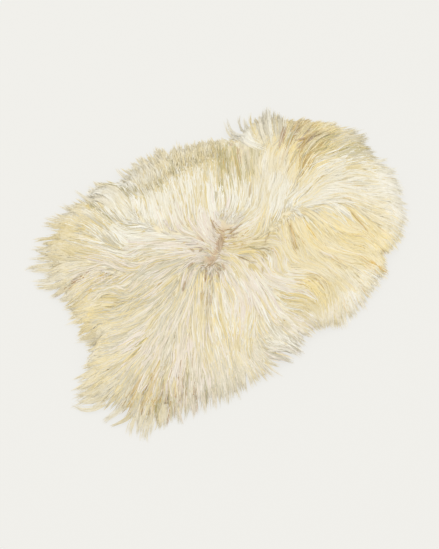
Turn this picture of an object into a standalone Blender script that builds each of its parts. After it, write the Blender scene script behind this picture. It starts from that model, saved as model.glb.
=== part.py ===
"""Sheepskin rug: one tanned pelt lying skin side down, with its long combed wool on top.

The skin is a thin flat sheet. The wool is a lumpy slab on it that dips at a short parting
near the middle, and round its rim tapered locks hang over the edge of the skin and come to
rest on the floor. Metres, +Z up, long axis along +X, origin under the middle of the box.
"""
import math

import bmesh
import bpy
import numpy as np

# Skin
SKIN_THICKNESS = 0.0020
WOOL_OVERHANG = 0.0030
ROOT_CLEARANCE = 0.0003

# Wool slab
ROOT_HEIGHT = SKIN_THICKNESS + ROOT_CLEARANCE
PARTING_HALF_LENGTH = 0.040
PARTING_HALF_WIDTH = 0.050
PARTING_DEPTH = 0.020
PARTING_BEARING = 80.0
TUFT_RELIEF = 0.0038
SWELL_RELIEF = 0.0030

# Rim locks
LOCK_COUNT = 180
LOCK_ROOT_SHARE = 0.76
LOCK_TIP_WIDTH = 0.0024
LOCK_TIP_THICKNESS = 0.0020
LOCK_LENGTH_SPREAD = 0.12
LOCK_LEAN_SPREAD = 2.0
SEED = 41

# Neighbouring locks lean together in threes and make one pointed tuft.
CLUMP_COLUMNS = ("lean", "length_share")
CLUMP = (
    (5.5, 0.84),
    (0.0, 1.16),
    (-5.5, 0.90),
)

# Rim of the pelt, anticlockwise from the long axis.
RIM_COLUMNS = ("bearing", "skin_reach", "lock_length", "lock_lean")
RIM = (
    (0, 0.480, 0.050, 4),
    (12, 0.505, 0.045, -4),
    (24, 0.465, 0.048, 6),
    (36, 0.420, 0.052, 8),
    (47, 0.378, 0.070, 6),
    (57, 0.340, 0.058, 2),
    (67, 0.314, 0.040, -6),
    (79, 0.312, 0.038, -10),
    (91, 0.322, 0.042, -14),
    (103, 0.334, 0.045, -14),
    (114, 0.352, 0.052, 4),
    (126, 0.393, 0.064, 8),
    (138, 0.420, 0.070, 6),
    (150, 0.442, 0.085, 0),
    (161, 0.418, 0.072, 0),
    (171, 0.398, 0.056, 2),
    (181, 0.400, 0.052, 2),
    (189, 0.436, 0.060, 2),
    (197, 0.486, 0.080, 0),
    (206, 0.492, 0.076, 2),
    (215, 0.476, 0.082, 4),
    (225, 0.428, 0.070, 6),
    (235, 0.382, 0.060, 4),
    (247, 0.347, 0.055, 2),
    (259, 0.330, 0.046, 0),
    (270, 0.312, 0.040, 0),
    (279, 0.308, 0.042, 2),
    (289, 0.334, 0.054, 0),
    (301, 0.360, 0.050, 4),
    (313, 0.392, 0.046, 4),
    (325, 0.426, 0.046, 4),
    (337, 0.466, 0.046, 2),
    (349, 0.490, 0.048, 0),
)

# Height of the wool from the middle of the pelt to its rim.
PILE_COLUMNS = ("share_of_reach", "height")
PILE = (
    (0.00, 0.050),
    (0.30, 0.052),
    (0.55, 0.051),
    (0.72, 0.047),
    (0.85, 0.040),
    (0.94, 0.029),
    (1.00, 0.017),
)

# Long combed tufts that run out from the middle: how many round the pelt, share, start.
TUFT_COLUMNS = ("count", "share", "start", "twist")
TUFTS = (
    (23, 0.55, 0.4, 1.1),
    (31, 0.45, 2.1, -1.6),
    (47, 0.35, 4.0, 2.0),
    (60, 0.40, 1.0, 0.6),
)

# Rings of the slab from the middle outward.
RING_COLUMNS = ("share_of_reach", "points")
RINGS = (
    (0.035, 45),
    (0.10, 45),
    (0.18, 45),
    (0.27, 90),
    (0.36, 90),
    (0.45, 90),
    (0.54, 90),
    (0.63, 180),
    (0.71, 180),
    (0.79, 180),
    (0.86, 180),
    (0.92, 180),
    (0.97, 180),
    (1.00, 180),
)

# Sections of a rim lock from root to tip.
SECTION_COLUMNS = ("along", "width_share", "thickness_share", "lift_share")
SECTIONS = (
    (0.30, 0.88, 0.86, 0.45),
    (0.66, 0.58, 0.58, 0.00),
    (1.00, 0.00, 0.00, 0.00),
)


def column(table, names, name):
    """Return one named column of a table as an array."""
    return np.array([row[names.index(name)] for row in table], dtype=float)


def rim_value(bearing, name):
    """Return a column of the rim table at a bearing in degrees, eased between rows."""
    marks = column(RIM, RIM_COLUMNS, "bearing")
    values = column(RIM, RIM_COLUMNS, name)
    total = 0.0
    for offset, weight in ((-7.0, 0.25), (0.0, 0.5), (7.0, 0.25)):
        total += weight * np.interp((bearing + offset) % 360.0, marks, values, period=360.0)
    return total


def unit(bearing):
    """Return the flat direction of a bearing in degrees."""
    angle = math.radians(bearing)
    return np.array([math.cos(angle), math.sin(angle)])


def parting_dip(point):
    """Return how far the wool sinks at a point near the parting."""
    line = unit(PARTING_BEARING)
    along = float(np.dot(point, line))
    across = point - line * max(-PARTING_HALF_LENGTH, min(PARTING_HALF_LENGTH, along))
    distance = float(np.linalg.norm(across)) / PARTING_HALF_WIDTH
    return PARTING_DEPTH * math.exp(-distance * distance)


def tuft_rise(bearing, share):
    """Return the rise and fall of the combed tufts at a bearing."""
    total = 0.0
    for count, part, start, twist in TUFTS:
        total += part * math.sin(count * math.radians(bearing) + start + twist * share)
    return TUFT_RELIEF * total * min(1.0, share * 2.0)


def swell_rise(point):
    """Return the broad swells of the wool at a point."""
    x, y = point
    wave = math.sin(17.0 * x + 5.0 * y + 0.7) + math.sin(-9.0 * x + 21.0 * y + 2.2)
    ripple = math.sin(38.0 * x - 14.0 * y + 4.1) * 0.6
    return SWELL_RELIEF * (wave + ripple) * 0.5


def slab_point(bearing, share):
    """Return a point on the top of the wool."""
    reach = rim_value(bearing, "skin_reach") + WOOL_OVERHANG
    flat = unit(bearing) * reach * share
    height = float(np.interp(share, column(PILE, PILE_COLUMNS, "share_of_reach"),
                             column(PILE, PILE_COLUMNS, "height")))
    edge = min(1.0, (1.0 - share) * 4.0 + 0.25)
    height += (tuft_rise(bearing, share) + swell_rise(flat)) * edge
    height -= parting_dip(flat)
    return (flat[0], flat[1], height)


def join_rings(bm, inner, outer):
    """Fill the band between two rings of vertices with the same or double the count."""
    count = len(inner)
    if len(outer) == count:
        for i in range(count):
            j = (i + 1) % count
            bm.faces.new((inner[i], outer[i], outer[j], inner[j]))
        return
    for i in range(count):
        j = (i + 1) % count
        left = outer[2 * i]
        middle = outer[2 * i + 1]
        right = outer[(2 * i + 2) % len(outer)]
        bm.faces.new((inner[i], left, middle))
        bm.faces.new((inner[i], middle, inner[j]))
        bm.faces.new((inner[j], middle, right))


def fan(bm, ring, centre, flip):
    """Close a ring of vertices onto one centre vertex."""
    hub = bm.verts.new(centre)
    for i in range(len(ring)):
        j = (i + 1) % len(ring)
        if flip:
            bm.faces.new((ring[j], ring[i], hub))
        else:
            bm.faces.new((ring[i], ring[j], hub))


def add_lock(bm, low_a, low_b, high_b, high_a, number, rng):
    """Grow one tapered lock out of a wall panel and lay its end on the floor."""
    bearing = 360.0 * (number + 0.5) / LOCK_COUNT
    place_in_clump = number % len(CLUMP)
    corners = (low_a, low_b, high_b, high_a)
    spots = [np.array(vert.co) for vert in corners]
    middle = sum(spots) / 4.0
    width = float(np.linalg.norm(spots[1][:2] - spots[0][:2])) * LOCK_ROOT_SHARE
    thickness = float((spots[2][2] + spots[3][2] - spots[0][2] - spots[1][2]) / 2.0)
    thickness *= LOCK_ROOT_SHARE
    root = []
    for spot, vert in zip(spots, corners):
        root.append(bm.verts.new(middle + (spot - middle) * LOCK_ROOT_SHARE))
    for i in range(4):
        j = (i + 1) % 4
        bm.faces.new((corners[i], corners[j], root[j], root[i]))
    lean = rim_value(bearing, "lock_lean") + rng.uniform(-1.0, 1.0) * LOCK_LEAN_SPREAD
    lean += column(CLUMP, CLUMP_COLUMNS, "lean")[place_in_clump]
    heading = unit(bearing + lean)
    side = np.array([-heading[1], heading[0]])
    length = rim_value(bearing, "lock_length")
    length *= column(CLUMP, CLUMP_COLUMNS, "length_share")[place_in_clump]
    length *= 1.0 + rng.uniform(-1.0, 1.0) * LOCK_LENGTH_SPREAD
    low = float(spots[0][2])
    before = root
    for along, width_share, thickness_share, lift_share in SECTIONS:
        half = (LOCK_TIP_WIDTH + (width - LOCK_TIP_WIDTH) * width_share) / 2.0
        tall = LOCK_TIP_THICKNESS + (thickness - LOCK_TIP_THICKNESS) * thickness_share
        flat = middle[:2] + heading * length * along
        floor = low * lift_share
        ring = []
        for sign, height in ((-1, floor), (1, floor), (1, floor + tall), (-1, floor + tall)):
            place = flat + side * half * sign
            ring.append(bm.verts.new((place[0], place[1], height)))
        for i in range(4):
            j = (i + 1) % 4
            bm.faces.new((before[i], before[j], ring[j], ring[i]))
        before = ring
    bm.faces.new(before)


def make_fleece():
    """Build the wool as one closed lumpy slab with its rim locks."""
    rng = np.random.default_rng(SEED)
    bm = bmesh.new()
    rings = []
    for share, points in RINGS:
        bearings = [360.0 * i / points for i in range(points)]
        rings.append([bm.verts.new(slab_point(b, share)) for b in bearings])
    middle = slab_point(0.0, 0.0)
    for inner, outer in zip(rings, rings[1:]):
        join_rings(bm, inner, outer)
    fan(bm, rings[0], middle, False)
    rim = rings[-1]
    foot = [bm.verts.new((vert.co.x, vert.co.y, ROOT_HEIGHT)) for vert in rim]
    for i in range(LOCK_COUNT):
        j = (i + 1) % LOCK_COUNT
        add_lock(bm, foot[i], foot[j], rim[j], rim[i], i, rng)
    fan(bm, foot, (0.0, 0.0, ROOT_HEIGHT), True)
    return finish_mesh(bm, "fleece")


def make_hide():
    """Build the skin as one thin flat sheet with a natural outline."""
    bm = bmesh.new()
    low = []
    high = []
    for i in range(LOCK_COUNT):
        bearing = 360.0 * i / LOCK_COUNT
        flat = unit(bearing) * rim_value(bearing, "skin_reach")
        low.append(bm.verts.new((flat[0], flat[1], 0.0)))
        high.append(bm.verts.new((flat[0], flat[1], SKIN_THICKNESS)))
    join_rings(bm, high, low)
    fan(bm, high, (0.0, 0.0, SKIN_THICKNESS), False)
    fan(bm, low, (0.0, 0.0, 0.0), True)
    return finish_mesh(bm, "hide")


def finish_mesh(bm, name):
    """Turn the working mesh into a named object in the scene."""
    bmesh.ops.recalc_face_normals(bm, faces=bm.faces)
    mesh = bpy.data.meshes.new(name)
    bm.to_mesh(mesh)
    bm.free()
    mesh.shade_smooth()
    mesh.set_sharp_from_angle(angle=math.radians(50.0))
    obj = bpy.data.objects.new(name, mesh)
    bpy.context.scene.collection.objects.link(obj)
    return obj


def dress(obj, name, colour, roughness, sheen):
    """Give an object its own plain material."""
    material = bpy.data.materials.new(name)
    material.use_nodes = True
    shader = material.node_tree.nodes["Principled BSDF"]
    shader.inputs["Base Color"].default_value = colour
    shader.inputs["Roughness"].default_value = roughness
    shader.inputs["Sheen Weight"].default_value = sheen
    obj.data.materials.append(material)


def centre(objects):
    """Move every object so that the box of them all stands over the origin."""
    corners = []
    for obj in objects:
        corners.extend([tuple(vert.co) for vert in obj.data.vertices])
    spots = np.array(corners)
    middle = (spots.min(axis=0) + spots.max(axis=0)) / 2.0
    for obj in objects:
        for vert in obj.data.vertices:
            vert.co.x -= middle[0]
            vert.co.y -= middle[1]


for old in list(bpy.data.objects):
    bpy.data.objects.remove(old, do_unlink=True)

hide = make_hide()
fleece = make_fleece()
dress(hide, "tanned_skin", (0.62, 0.50, 0.36, 1.0), 0.75, 0.0)
dress(fleece, "cream_wool", (0.84, 0.78, 0.62, 1.0), 0.90, 0.3)
centre((hide, fleece))
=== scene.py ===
"""Sheepskin rug, dressed: one tanned pelt lying skin side down with its long wool combed out."""
import math

import bpy
import numpy as np
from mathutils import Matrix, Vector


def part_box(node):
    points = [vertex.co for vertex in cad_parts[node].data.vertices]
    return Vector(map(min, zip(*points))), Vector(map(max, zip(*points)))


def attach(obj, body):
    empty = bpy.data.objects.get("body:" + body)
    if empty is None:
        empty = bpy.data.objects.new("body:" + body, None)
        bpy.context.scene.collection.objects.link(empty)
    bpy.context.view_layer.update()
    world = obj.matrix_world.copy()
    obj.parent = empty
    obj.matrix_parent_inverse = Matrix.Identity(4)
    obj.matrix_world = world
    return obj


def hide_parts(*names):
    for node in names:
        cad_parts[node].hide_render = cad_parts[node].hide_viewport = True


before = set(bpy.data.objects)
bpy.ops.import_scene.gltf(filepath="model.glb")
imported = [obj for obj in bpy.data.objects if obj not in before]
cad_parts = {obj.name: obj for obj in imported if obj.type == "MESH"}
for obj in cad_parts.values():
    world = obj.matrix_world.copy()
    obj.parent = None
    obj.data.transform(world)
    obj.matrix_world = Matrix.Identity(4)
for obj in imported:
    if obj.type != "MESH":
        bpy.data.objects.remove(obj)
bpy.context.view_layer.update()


# === Skin ===
# One sheepskin, tanned and buffed on the flesh side, trimmed to its own outline and about
# 2 mm thick. It carries the wool and lies flat on the floor, so only its napped underside
# shows, from below.

SUEDE_TAN = (0.60, 0.47, 0.33)
SUEDE_CREAM = (0.72, 0.61, 0.46)

# Edge of the skin, anticlockwise from the rug's long axis, in degrees and metres. It is
# rounded by taking each point together with its neighbours some degrees off.
SKIN_EDGE_COLUMNS = ("bearing", "reach")
SKIN_EDGE = (
    (0, 0.480), (12, 0.505), (24, 0.465), (36, 0.420), (47, 0.378), (57, 0.340),
    (67, 0.314), (79, 0.312), (91, 0.322), (103, 0.334), (114, 0.352), (126, 0.393),
    (138, 0.420), (150, 0.442), (161, 0.418), (171, 0.398), (181, 0.400), (189, 0.436),
    (197, 0.486), (206, 0.492), (215, 0.476), (225, 0.428), (235, 0.382), (247, 0.347),
    (259, 0.330), (270, 0.312), (279, 0.308), (289, 0.334), (301, 0.360), (313, 0.392),
    (325, 0.426), (337, 0.466), (349, 0.490),
)
EDGE_ROUNDING = ((-7.0, 0.25), (0.0, 0.5), (7.0, 0.25))


def set_inputs(node, values):
    """Set a node's named inputs to plain values."""
    for socket, value in values.items():
        node.inputs[socket].default_value = value


def new_finish(name, values):
    """Start a node material; return it with its node tree and its shader, set to some values."""
    finish = bpy.data.materials.new(name)
    finish.use_nodes = True
    shader = finish.node_tree.nodes["Principled BSDF"]
    set_inputs(shader, values)
    return finish, finish.node_tree, shader


def add_node(tree, kind, **values):
    """Add a node of one kind to a finish, with some of its inputs set."""
    node = tree.nodes.new("ShaderNode" + kind)
    set_inputs(node, values)
    return node


def add_ramp(tree, *stops):
    """Add a colour ramp through stops, each a position and a colour."""
    ramp = add_node(tree, "ValToRGB")
    elements = ramp.color_ramp.elements
    for element, (position, colour) in ((elements[0], stops[0]), (elements[1], stops[-1])):
        element.position = position
        element.color = (*colour, 1.0)
    for position, colour in stops[1:-1]:
        elements.new(position).color = (*colour, 1.0)
    return ramp


def connect(tree, *wires):
    """Link nodes; each wire is a node and its output, then a node and its input."""
    for source, output, target, entry in wires:
        tree.links.new(source.outputs[output], target.inputs[entry])


def suede_finish():
    """Napped flesh side: mottled tan, fine nap and a soft sheen."""
    finish, tree, shader = new_finish("suede", {"Roughness": 0.85, "Sheen Weight": 0.25})
    place = add_node(tree, "TexCoord")
    mottle = add_node(tree, "TexNoise", Scale=14.0, Detail=6.0)
    shades = add_ramp(tree, (0.35, SUEDE_TAN), (0.68, SUEDE_CREAM))
    nap = add_node(tree, "TexNoise", Scale=900.0, Detail=3.0)
    raised = add_node(tree, "Bump", Strength=0.35, Distance=0.0006)
    connect(tree,
            (place, "Object", mottle, "Vector"),
            (mottle, "Fac", shades, "Fac"),
            (shades, "Color", shader, "Base Color"),
            (place, "Object", nap, "Vector"),
            (nap, "Fac", raised, "Height"),
            (raised, "Normal", shader, "Normal"))
    return finish


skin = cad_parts["hide"]
skin.data.materials.clear()
skin.data.materials.append(suede_finish())
skin_low, skin_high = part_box("hide")


# === Underwool ===
# The short dense wool at the roots, matted into one springy lumpy layer over the skin. It
# shows as darker cream between the long locks, partly its own colour and partly painted shade
# of the gaps between them, and dips at the parting.

# Its foot stands just clear of the skin, and its top this share of the way up to the long wool.
UNDERWOOL_FOOT = 0.0023
UNDERWOOL_SHARE = 0.98
UNDERWOOL_RINGS = 44
UNDERWOOL_SECTORS = 180
UNDERWOOL_INSET = 0.004
UNDERWOOL_FUZZ = 0.0004
# How much lower the layer is at its rim, and over what share of its reach it slopes down.
BEVEL_DROP = 0.35
BEVEL_WIDTH = 0.05
# Furrows are this much wider in it than in the long wool.
FURROW_MARGIN = 0.006
# Its colours, darker and more golden than the long wool's, are partly painted shade of the deep gaps
# between the locks.
MATTED_DARK = (0.84, 0.73, 0.49)
MATTED_PALE = (0.90, 0.83, 0.62)
# Brown at the parting, from this height, fading out between two distances.
ROOT_BROWN = (0.62, 0.46, 0.31)
ROOT_BROWN_HEIGHT = 0.035
ROOT_BROWN_REACH = (0.045, 0.080)

# How high the long wool lies over the floor, from the middle of the pelt to the skin's edge.
PILE_COLUMNS = ("share_of_reach", "height")
PILE = ((0.00, 0.056), (0.30, 0.057), (0.55, 0.056), (0.75, 0.052), (0.88, 0.044), (1.00, 0.031))
# Past the skin's edge it droops towards the floor. Where the tips reach little farther than
# the edge, it starts this far before them.
DROOP_LENGTH = 0.034
DROOP_POWER = 1.5
LEAST_OVERHANG = 0.030
LOWEST_WOOL = 0.0045

# Swells in the top of the wool: waves over the pelt, each with its turns along x and y, its
# start and its strength. They fade out at the rim.
SWELLS = ((17.0, 5.0, 0.7, 1.0), (-9.0, 21.0, 2.2, 1.0), (38.0, -14.0, 4.1, 0.6),
          (23.0, 31.0, 0.0, 0.5))
SWELL_HEIGHT = 0.0014
SWELL_END = 1.05
SWELL_FADE = 5.0

# Line that the tips of the wool reach on the floor, in metres along x and y, anticlockwise
# from the right end.
TIP_LINE = (
    (0.533, 0.000), (0.546, 0.052), (0.561, 0.092), (0.513, 0.141), (0.479, 0.186),
    (0.451, 0.220), (0.417, 0.232), (0.395, 0.264), (0.386, 0.302), (0.341, 0.300),
    (0.312, 0.298), (0.273, 0.282), (0.241, 0.271), (0.220, 0.276), (0.204, 0.287),
    (0.179, 0.300), (0.153, 0.318), (0.104, 0.324), (0.068, 0.346), (0.000, 0.367),
    (-0.076, 0.364), (-0.090, 0.345), (-0.106, 0.328), (-0.124, 0.328), (-0.144, 0.354),
    (-0.198, 0.351), (-0.235, 0.329), (-0.262, 0.345), (-0.284, 0.346), (-0.309, 0.326),
    (-0.332, 0.297), (-0.370, 0.285), (-0.392, 0.262), (-0.412, 0.239), (-0.424, 0.207),
    (-0.437, 0.168), (-0.425, 0.125), (-0.420, 0.093), (-0.420, 0.062), (-0.423, 0.036),
    (-0.434, 0.003), (-0.423, -0.052), (-0.464, -0.078), (-0.503, -0.108), (-0.522, -0.131),
    (-0.545, -0.158), (-0.502, -0.196), (-0.477, -0.207), (-0.487, -0.228), (-0.450, -0.253),
    (-0.457, -0.274), (-0.440, -0.303), (-0.407, -0.301), (-0.370, -0.307), (-0.335, -0.330),
    (-0.304, -0.329), (-0.268, -0.340), (-0.246, -0.360), (-0.189, -0.365), (-0.099, -0.370),
    (-0.010, -0.358), (0.009, -0.351), (0.034, -0.339), (0.063, -0.335), (0.087, -0.339),
    (0.133, -0.371), (0.194, -0.361), (0.243, -0.340), (0.300, -0.319), (0.326, -0.303),
    (0.342, -0.279), (0.348, -0.262), (0.390, -0.263), (0.445, -0.246), (0.483, -0.206),
    (0.504, -0.151), (0.539, -0.107), (0.552, -0.051),
)

# The short parting from which all the wool is combed out.
PARTING = ((-0.052, -0.024), (-0.012, -0.002), (0.034, 0.034))
PARTING_WIDTH = 0.034
PARTING_DEPTH = 0.019
PARTING_POWER = 1.4

# The valley between the body of the wool and the fringe along the far side.
VALLEY = ((-0.128, 0.276), (-0.094, 0.256), (-0.052, 0.251), (-0.004, 0.254), (0.040, 0.261),
          (0.088, 0.260), (0.125, 0.251), (0.160, 0.243))
VALLEY_WIDTH = 0.014
VALLEY_DEPTH = 0.007

# Furrows between the big swathes of wool: where each starts, which way it runs, in metres
# and degrees, and the tone of the wool in it, painted shade that darkens the furrow.
FURROW_COLUMNS = ("x", "y", "heading", "length", "width", "depth", "tone")
FURROWS = (
    (0.095, 0.150, 56, 0.120, 0.007, 0.0055, "olive"),
    (0.133, 0.165, 60, 0.085, 0.007, 0.0055, "olive"),
    (0.180, 0.130, 65, 0.085, 0.005, 0.0050, "olive"),
    (0.015, 0.250, 75, 0.050, 0.007, 0.0035, "olive"),
    (-0.198, 0.200, 103, 0.120, 0.006, 0.0050, "olive"),
    (-0.115, 0.290, 118, 0.070, 0.005, 0.0050, "olive"),
    (0.295, 0.045, 52, 0.070, 0.006, 0.0040, "ochre"),
    (0.335, 0.098, 15, 0.070, 0.004, 0.0035, "ochre"),
    (0.335, 0.110, 45, 0.040, 0.005, 0.0040, "umber"),
    (0.360, 0.135, 4, 0.090, 0.005, 0.0050, "umber"),
    (0.360, 0.158, 12, 0.070, 0.006, 0.0050, "umber"),
    (0.370, 0.185, 15, 0.050, 0.005, 0.0040, "ochre"),
    (0.410, 0.105, 6, 0.090, 0.004, 0.0035, "olive"),
    (0.190, -0.030, -110, 0.120, 0.007, 0.0022, "ochre"),
    (0.085, -0.070, -115, 0.050, 0.006, 0.0040, "ochre"),
    (0.010, -0.065, -50, 0.020, 0.004, 0.0025, "umber"),
    (-0.015, -0.030, -115, 0.045, 0.006, 0.0035, "umber"),
    (-0.045, -0.040, -105, 0.050, 0.005, 0.0035, "umber"),
    (-0.068, -0.025, -118, 0.050, 0.006, 0.0045, "umber"),
    (-0.122, -0.030, -128, 0.035, 0.006, 0.0040, "umber"),
    (-0.100, -0.090, -125, 0.070, 0.006, 0.0040, "ochre"),
    (-0.075, 0.055, -80, 0.035, 0.005, 0.0035, "umber"),
    (0.355, -0.090, -82, 0.070, 0.004, 0.0018, "honey"),
    (0.368, -0.165, -90, 0.070, 0.005, 0.0015, "honey"),
    (0.335, -0.195, -75, 0.045, 0.004, 0.0015, "amber"),
    (-0.345, -0.250, -135, 0.070, 0.006, 0.0045, "olive"),
    (-0.270, -0.255, -128, 0.060, 0.006, 0.0040, "olive"),
    (-0.345, -0.295, -120, 0.040, 0.006, 0.0045, "olive"),
    (-0.392, -0.204, -140, 0.055, 0.005, 0.0035, "ochre"),
    (-0.376, -0.226, -135, 0.075, 0.004, 0.0040, "umber"),
    (-0.334, -0.262, -125, 0.075, 0.004, 0.0045, "umber"),
    (-0.307, -0.280, -122, 0.050, 0.004, 0.0045, "ash"),
    (-0.279, -0.296, -118, 0.045, 0.004, 0.0040, "umber"),
    (-0.252, -0.298, -114, 0.045, 0.004, 0.0035, "olive"),
    (-0.330, -0.127, -178, 0.050, 0.004, 0.0025, "olive"),
    (-0.315, 0.087, -171, 0.080, 0.004, 0.0025, "amber"),
    (-0.360, 0.128, -170, 0.050, 0.004, 0.0035, "umber"),
    (-0.260, -0.015, 172, 0.100, 0.004, 0.0025, "olive"),
)
# Over what lengths a furrow begins and runs out.
FURROW_HEAD = 0.02
FURROW_TAIL = 0.03
# Wool lower than this has shallower furrows.
FURROWED_HEIGHT = 0.03


def column(table, names, name):
    """Return one named column of a table as an array."""
    return np.array([row[names.index(name)] for row in table])


def round_rim(table, names, name, bearing):
    """Return a column of a table that runs round the rim, at any bearings."""
    marks = column(table, names, "bearing")
    return np.interp(bearing, marks, column(table, names, name), period=360.0)


def facing(heading):
    """Return flat unit directions for headings in degrees."""
    angle = np.radians(heading)
    return np.stack((np.cos(angle), np.sin(angle)), axis=-1)


def flat_unit(way):
    """Return flat directions at a length of one."""
    return way / np.maximum(np.hypot(way[..., 0], way[..., 1]), 1e-6)[..., None]


def bell(distance, width):
    """Return one at no distance, falling off smoothly beyond it."""
    return np.exp(-(distance / width) ** 2)


def add_waves(x, y, waves, phase=0.0):
    """Add up waves over the pelt, each with its turns along x and y, its start and strength."""
    return sum(strength * np.sin(along_x * x + along_y * y + start + phase)
               for along_x, along_y, start, strength in waves)


def skin_reach(bearing):
    """Return how far the skin's edge lies from the middle at each bearing."""
    return sum(weight * round_rim(SKIN_EDGE, SKIN_EDGE_COLUMNS, "reach", (bearing + offset) % 360.0)
               for offset, weight in EDGE_ROUNDING)


def polar(points):
    """Return the bearing in degrees and the distance of flat points from the middle."""
    bearing = np.degrees(np.arctan2(points[..., 1], points[..., 0])) % 360.0
    return bearing, np.hypot(points[..., 0], points[..., 1])


def tip_reach(bearing):
    """Return how far the wool tips reach from the middle at each bearing."""
    marks, reaches = polar(np.array(TIP_LINE))
    return np.interp(bearing, marks, reaches, period=360.0)


# The tables count from a middle of their own. This is how far it lies off the frame's origin.
all_round = np.arange(0.0, 360.0, 1.0)
edge_line = facing(all_round) * skin_reach(all_round)[:, None]
edge_middle = (edge_line.min(axis=0) + edge_line.max(axis=0)) / 2.0
skin_middle = (np.array(skin_low[:2]) + np.array(skin_high[:2])) / 2.0
MIDDLE_SHIFT = skin_middle - edge_middle


def away_from(points, line):
    """Return how far flat points lie from a line of straight runs, and the way to them."""
    best = np.full(points.shape[:-1], np.inf)
    away = np.zeros_like(points)
    for start, end in zip(np.array(line[:-1]), np.array(line[1:])):
        run = end - start
        share = np.clip(((points - start) @ run) / (run @ run), 0.0, 1.0)
        offset = points - (start + share[..., None] * run)
        distance = np.hypot(offset[..., 0], offset[..., 1])
        nearer = distance < best
        best = np.where(nearer, distance, best)
        away = np.where(nearer[..., None], offset, away)
    return best, flat_unit(away)


def line_distance(points, line):
    """Return how far flat points lie from a line of straight runs."""
    return away_from(points, line)[0]


def furrow_depths(points, widened=0.0):
    """Return how deep each furrow cuts the wool at flat points, one array a furrow."""
    cuts = []
    for x, y, heading, length, width, depth, _ in FURROWS:
        run = facing(heading)
        offset = points - np.array((x, y))
        along = offset @ run
        across = offset @ np.array((-run[1], run[0]))
        head = np.clip(along / FURROW_HEAD + 0.5, 0.0, 1.0)
        tail = np.clip((length - along) / FURROW_TAIL + 0.5, 0.0, 1.0)
        cuts.append(depth * (head * tail) * bell(across, width + widened))
    return np.array(cuts)


def wool_height(points, widened=0.0):
    """Return how high the top of the wool lies at flat points, with furrows widened or not."""
    bearing, distance = polar(points)
    edge = skin_reach(bearing)
    share = distance / edge
    height = np.interp(share, column(PILE, PILE_COLUMNS, "share_of_reach"),
                       column(PILE, PILE_COLUMNS, "height"))
    drooping = np.minimum(edge, tip_reach(bearing) - LEAST_OVERHANG)
    beyond = np.maximum(distance - drooping, 0.0) / DROOP_LENGTH
    height = LOWEST_WOOL + (height - LOWEST_WOOL) * np.exp(-beyond ** DROOP_POWER)
    parting = line_distance(points, PARTING) / PARTING_WIDTH
    height = height - PARTING_DEPTH * np.exp(-parting ** PARTING_POWER)
    height = height - VALLEY_DEPTH * bell(line_distance(points, VALLEY), VALLEY_WIDTH)
    swell = add_waves(points[..., 0], points[..., 1], SWELLS)
    fade = np.clip((SWELL_END - share) * SWELL_FADE, 0.0, 1.0)
    height = height + SWELL_HEIGHT * swell * fade
    cut = furrow_depths(points, widened).sum(axis=0)
    return height - cut * np.clip(height / FURROWED_HEIGHT, 0.0, 1.0)


def matted(height):
    """Return how high the underwool lies under wool of a given height."""
    return UNDERWOOL_FOOT + (height - UNDERWOOL_FOOT) * UNDERWOOL_SHARE


def fill_mesh(name, points, corners, sizes):
    """Make a mesh object from points and a flat list of face corners."""
    mesh = bpy.data.meshes.new(name)
    mesh.vertices.add(len(points))
    mesh.vertices.foreach_set("co", np.ascontiguousarray(points, dtype=np.float32).ravel())
    mesh.loops.add(len(corners))
    mesh.loops.foreach_set("vertex_index", np.ascontiguousarray(corners, dtype=np.int32))
    mesh.polygons.add(len(sizes))
    starts = np.concatenate(([0], np.cumsum(sizes)[:-1])).astype(np.int32)
    mesh.polygons.foreach_set("loop_start", starts)
    mesh.update(calc_edges=True)
    mesh.validate()
    mesh.shade_smooth()
    obj = bpy.data.objects.new(name, mesh)
    bpy.context.scene.collection.objects.link(obj)
    return obj


def underwool_finish():
    """Matted root wool: cream darkened by painted shade, brown near the parting, with a fibrous bump.
    """
    finish, tree, shader = new_finish("underwool", {"Roughness": 0.95})
    place = add_node(tree, "TexCoord")
    mat = add_node(tree, "TexNoise", Scale=60.0, Detail=6.0)
    shades = add_ramp(tree, (0.30, MATTED_DARK), (0.70, MATTED_PALE))
    fibre = add_node(tree, "TexNoise", Scale=420.0, Detail=4.0)
    raised = add_node(tree, "Bump", Strength=0.6, Distance=0.002)
    from_parting = add_node(tree, "VectorMath")
    from_parting.operation = "DISTANCE"
    brown_middle = (*(np.array(PARTING[1]) + MIDDLE_SHIFT), ROOT_BROWN_HEIGHT)
    from_parting.inputs[1].default_value = brown_middle
    closeness = add_node(tree, "MapRange")
    brown_from, brown_to = ROOT_BROWN_REACH
    set_inputs(closeness, {"From Min": brown_from, "From Max": brown_to, "To Min": 1.0, "To Max": 0.0})
    browned = add_node(tree, "Mix")
    browned.data_type = "RGBA"
    set_inputs(browned, {"B": (*ROOT_BROWN, 1.0)})
    connect(tree,
            (place, "Object", mat, "Vector"),
            (mat, "Fac", shades, "Fac"),
            (shades, "Color", browned, "A"),
            (place, "Object", from_parting, 0),
            (from_parting, "Value", closeness, "Value"),
            (closeness, "Result", browned, "Factor"),
            (browned, "Result", shader, "Base Color"),
            (place, "Object", fibre, "Vector"),
            (fibre, "Fac", raised, "Height"),
            (raised, "Normal", shader, "Normal"))
    return finish


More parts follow.
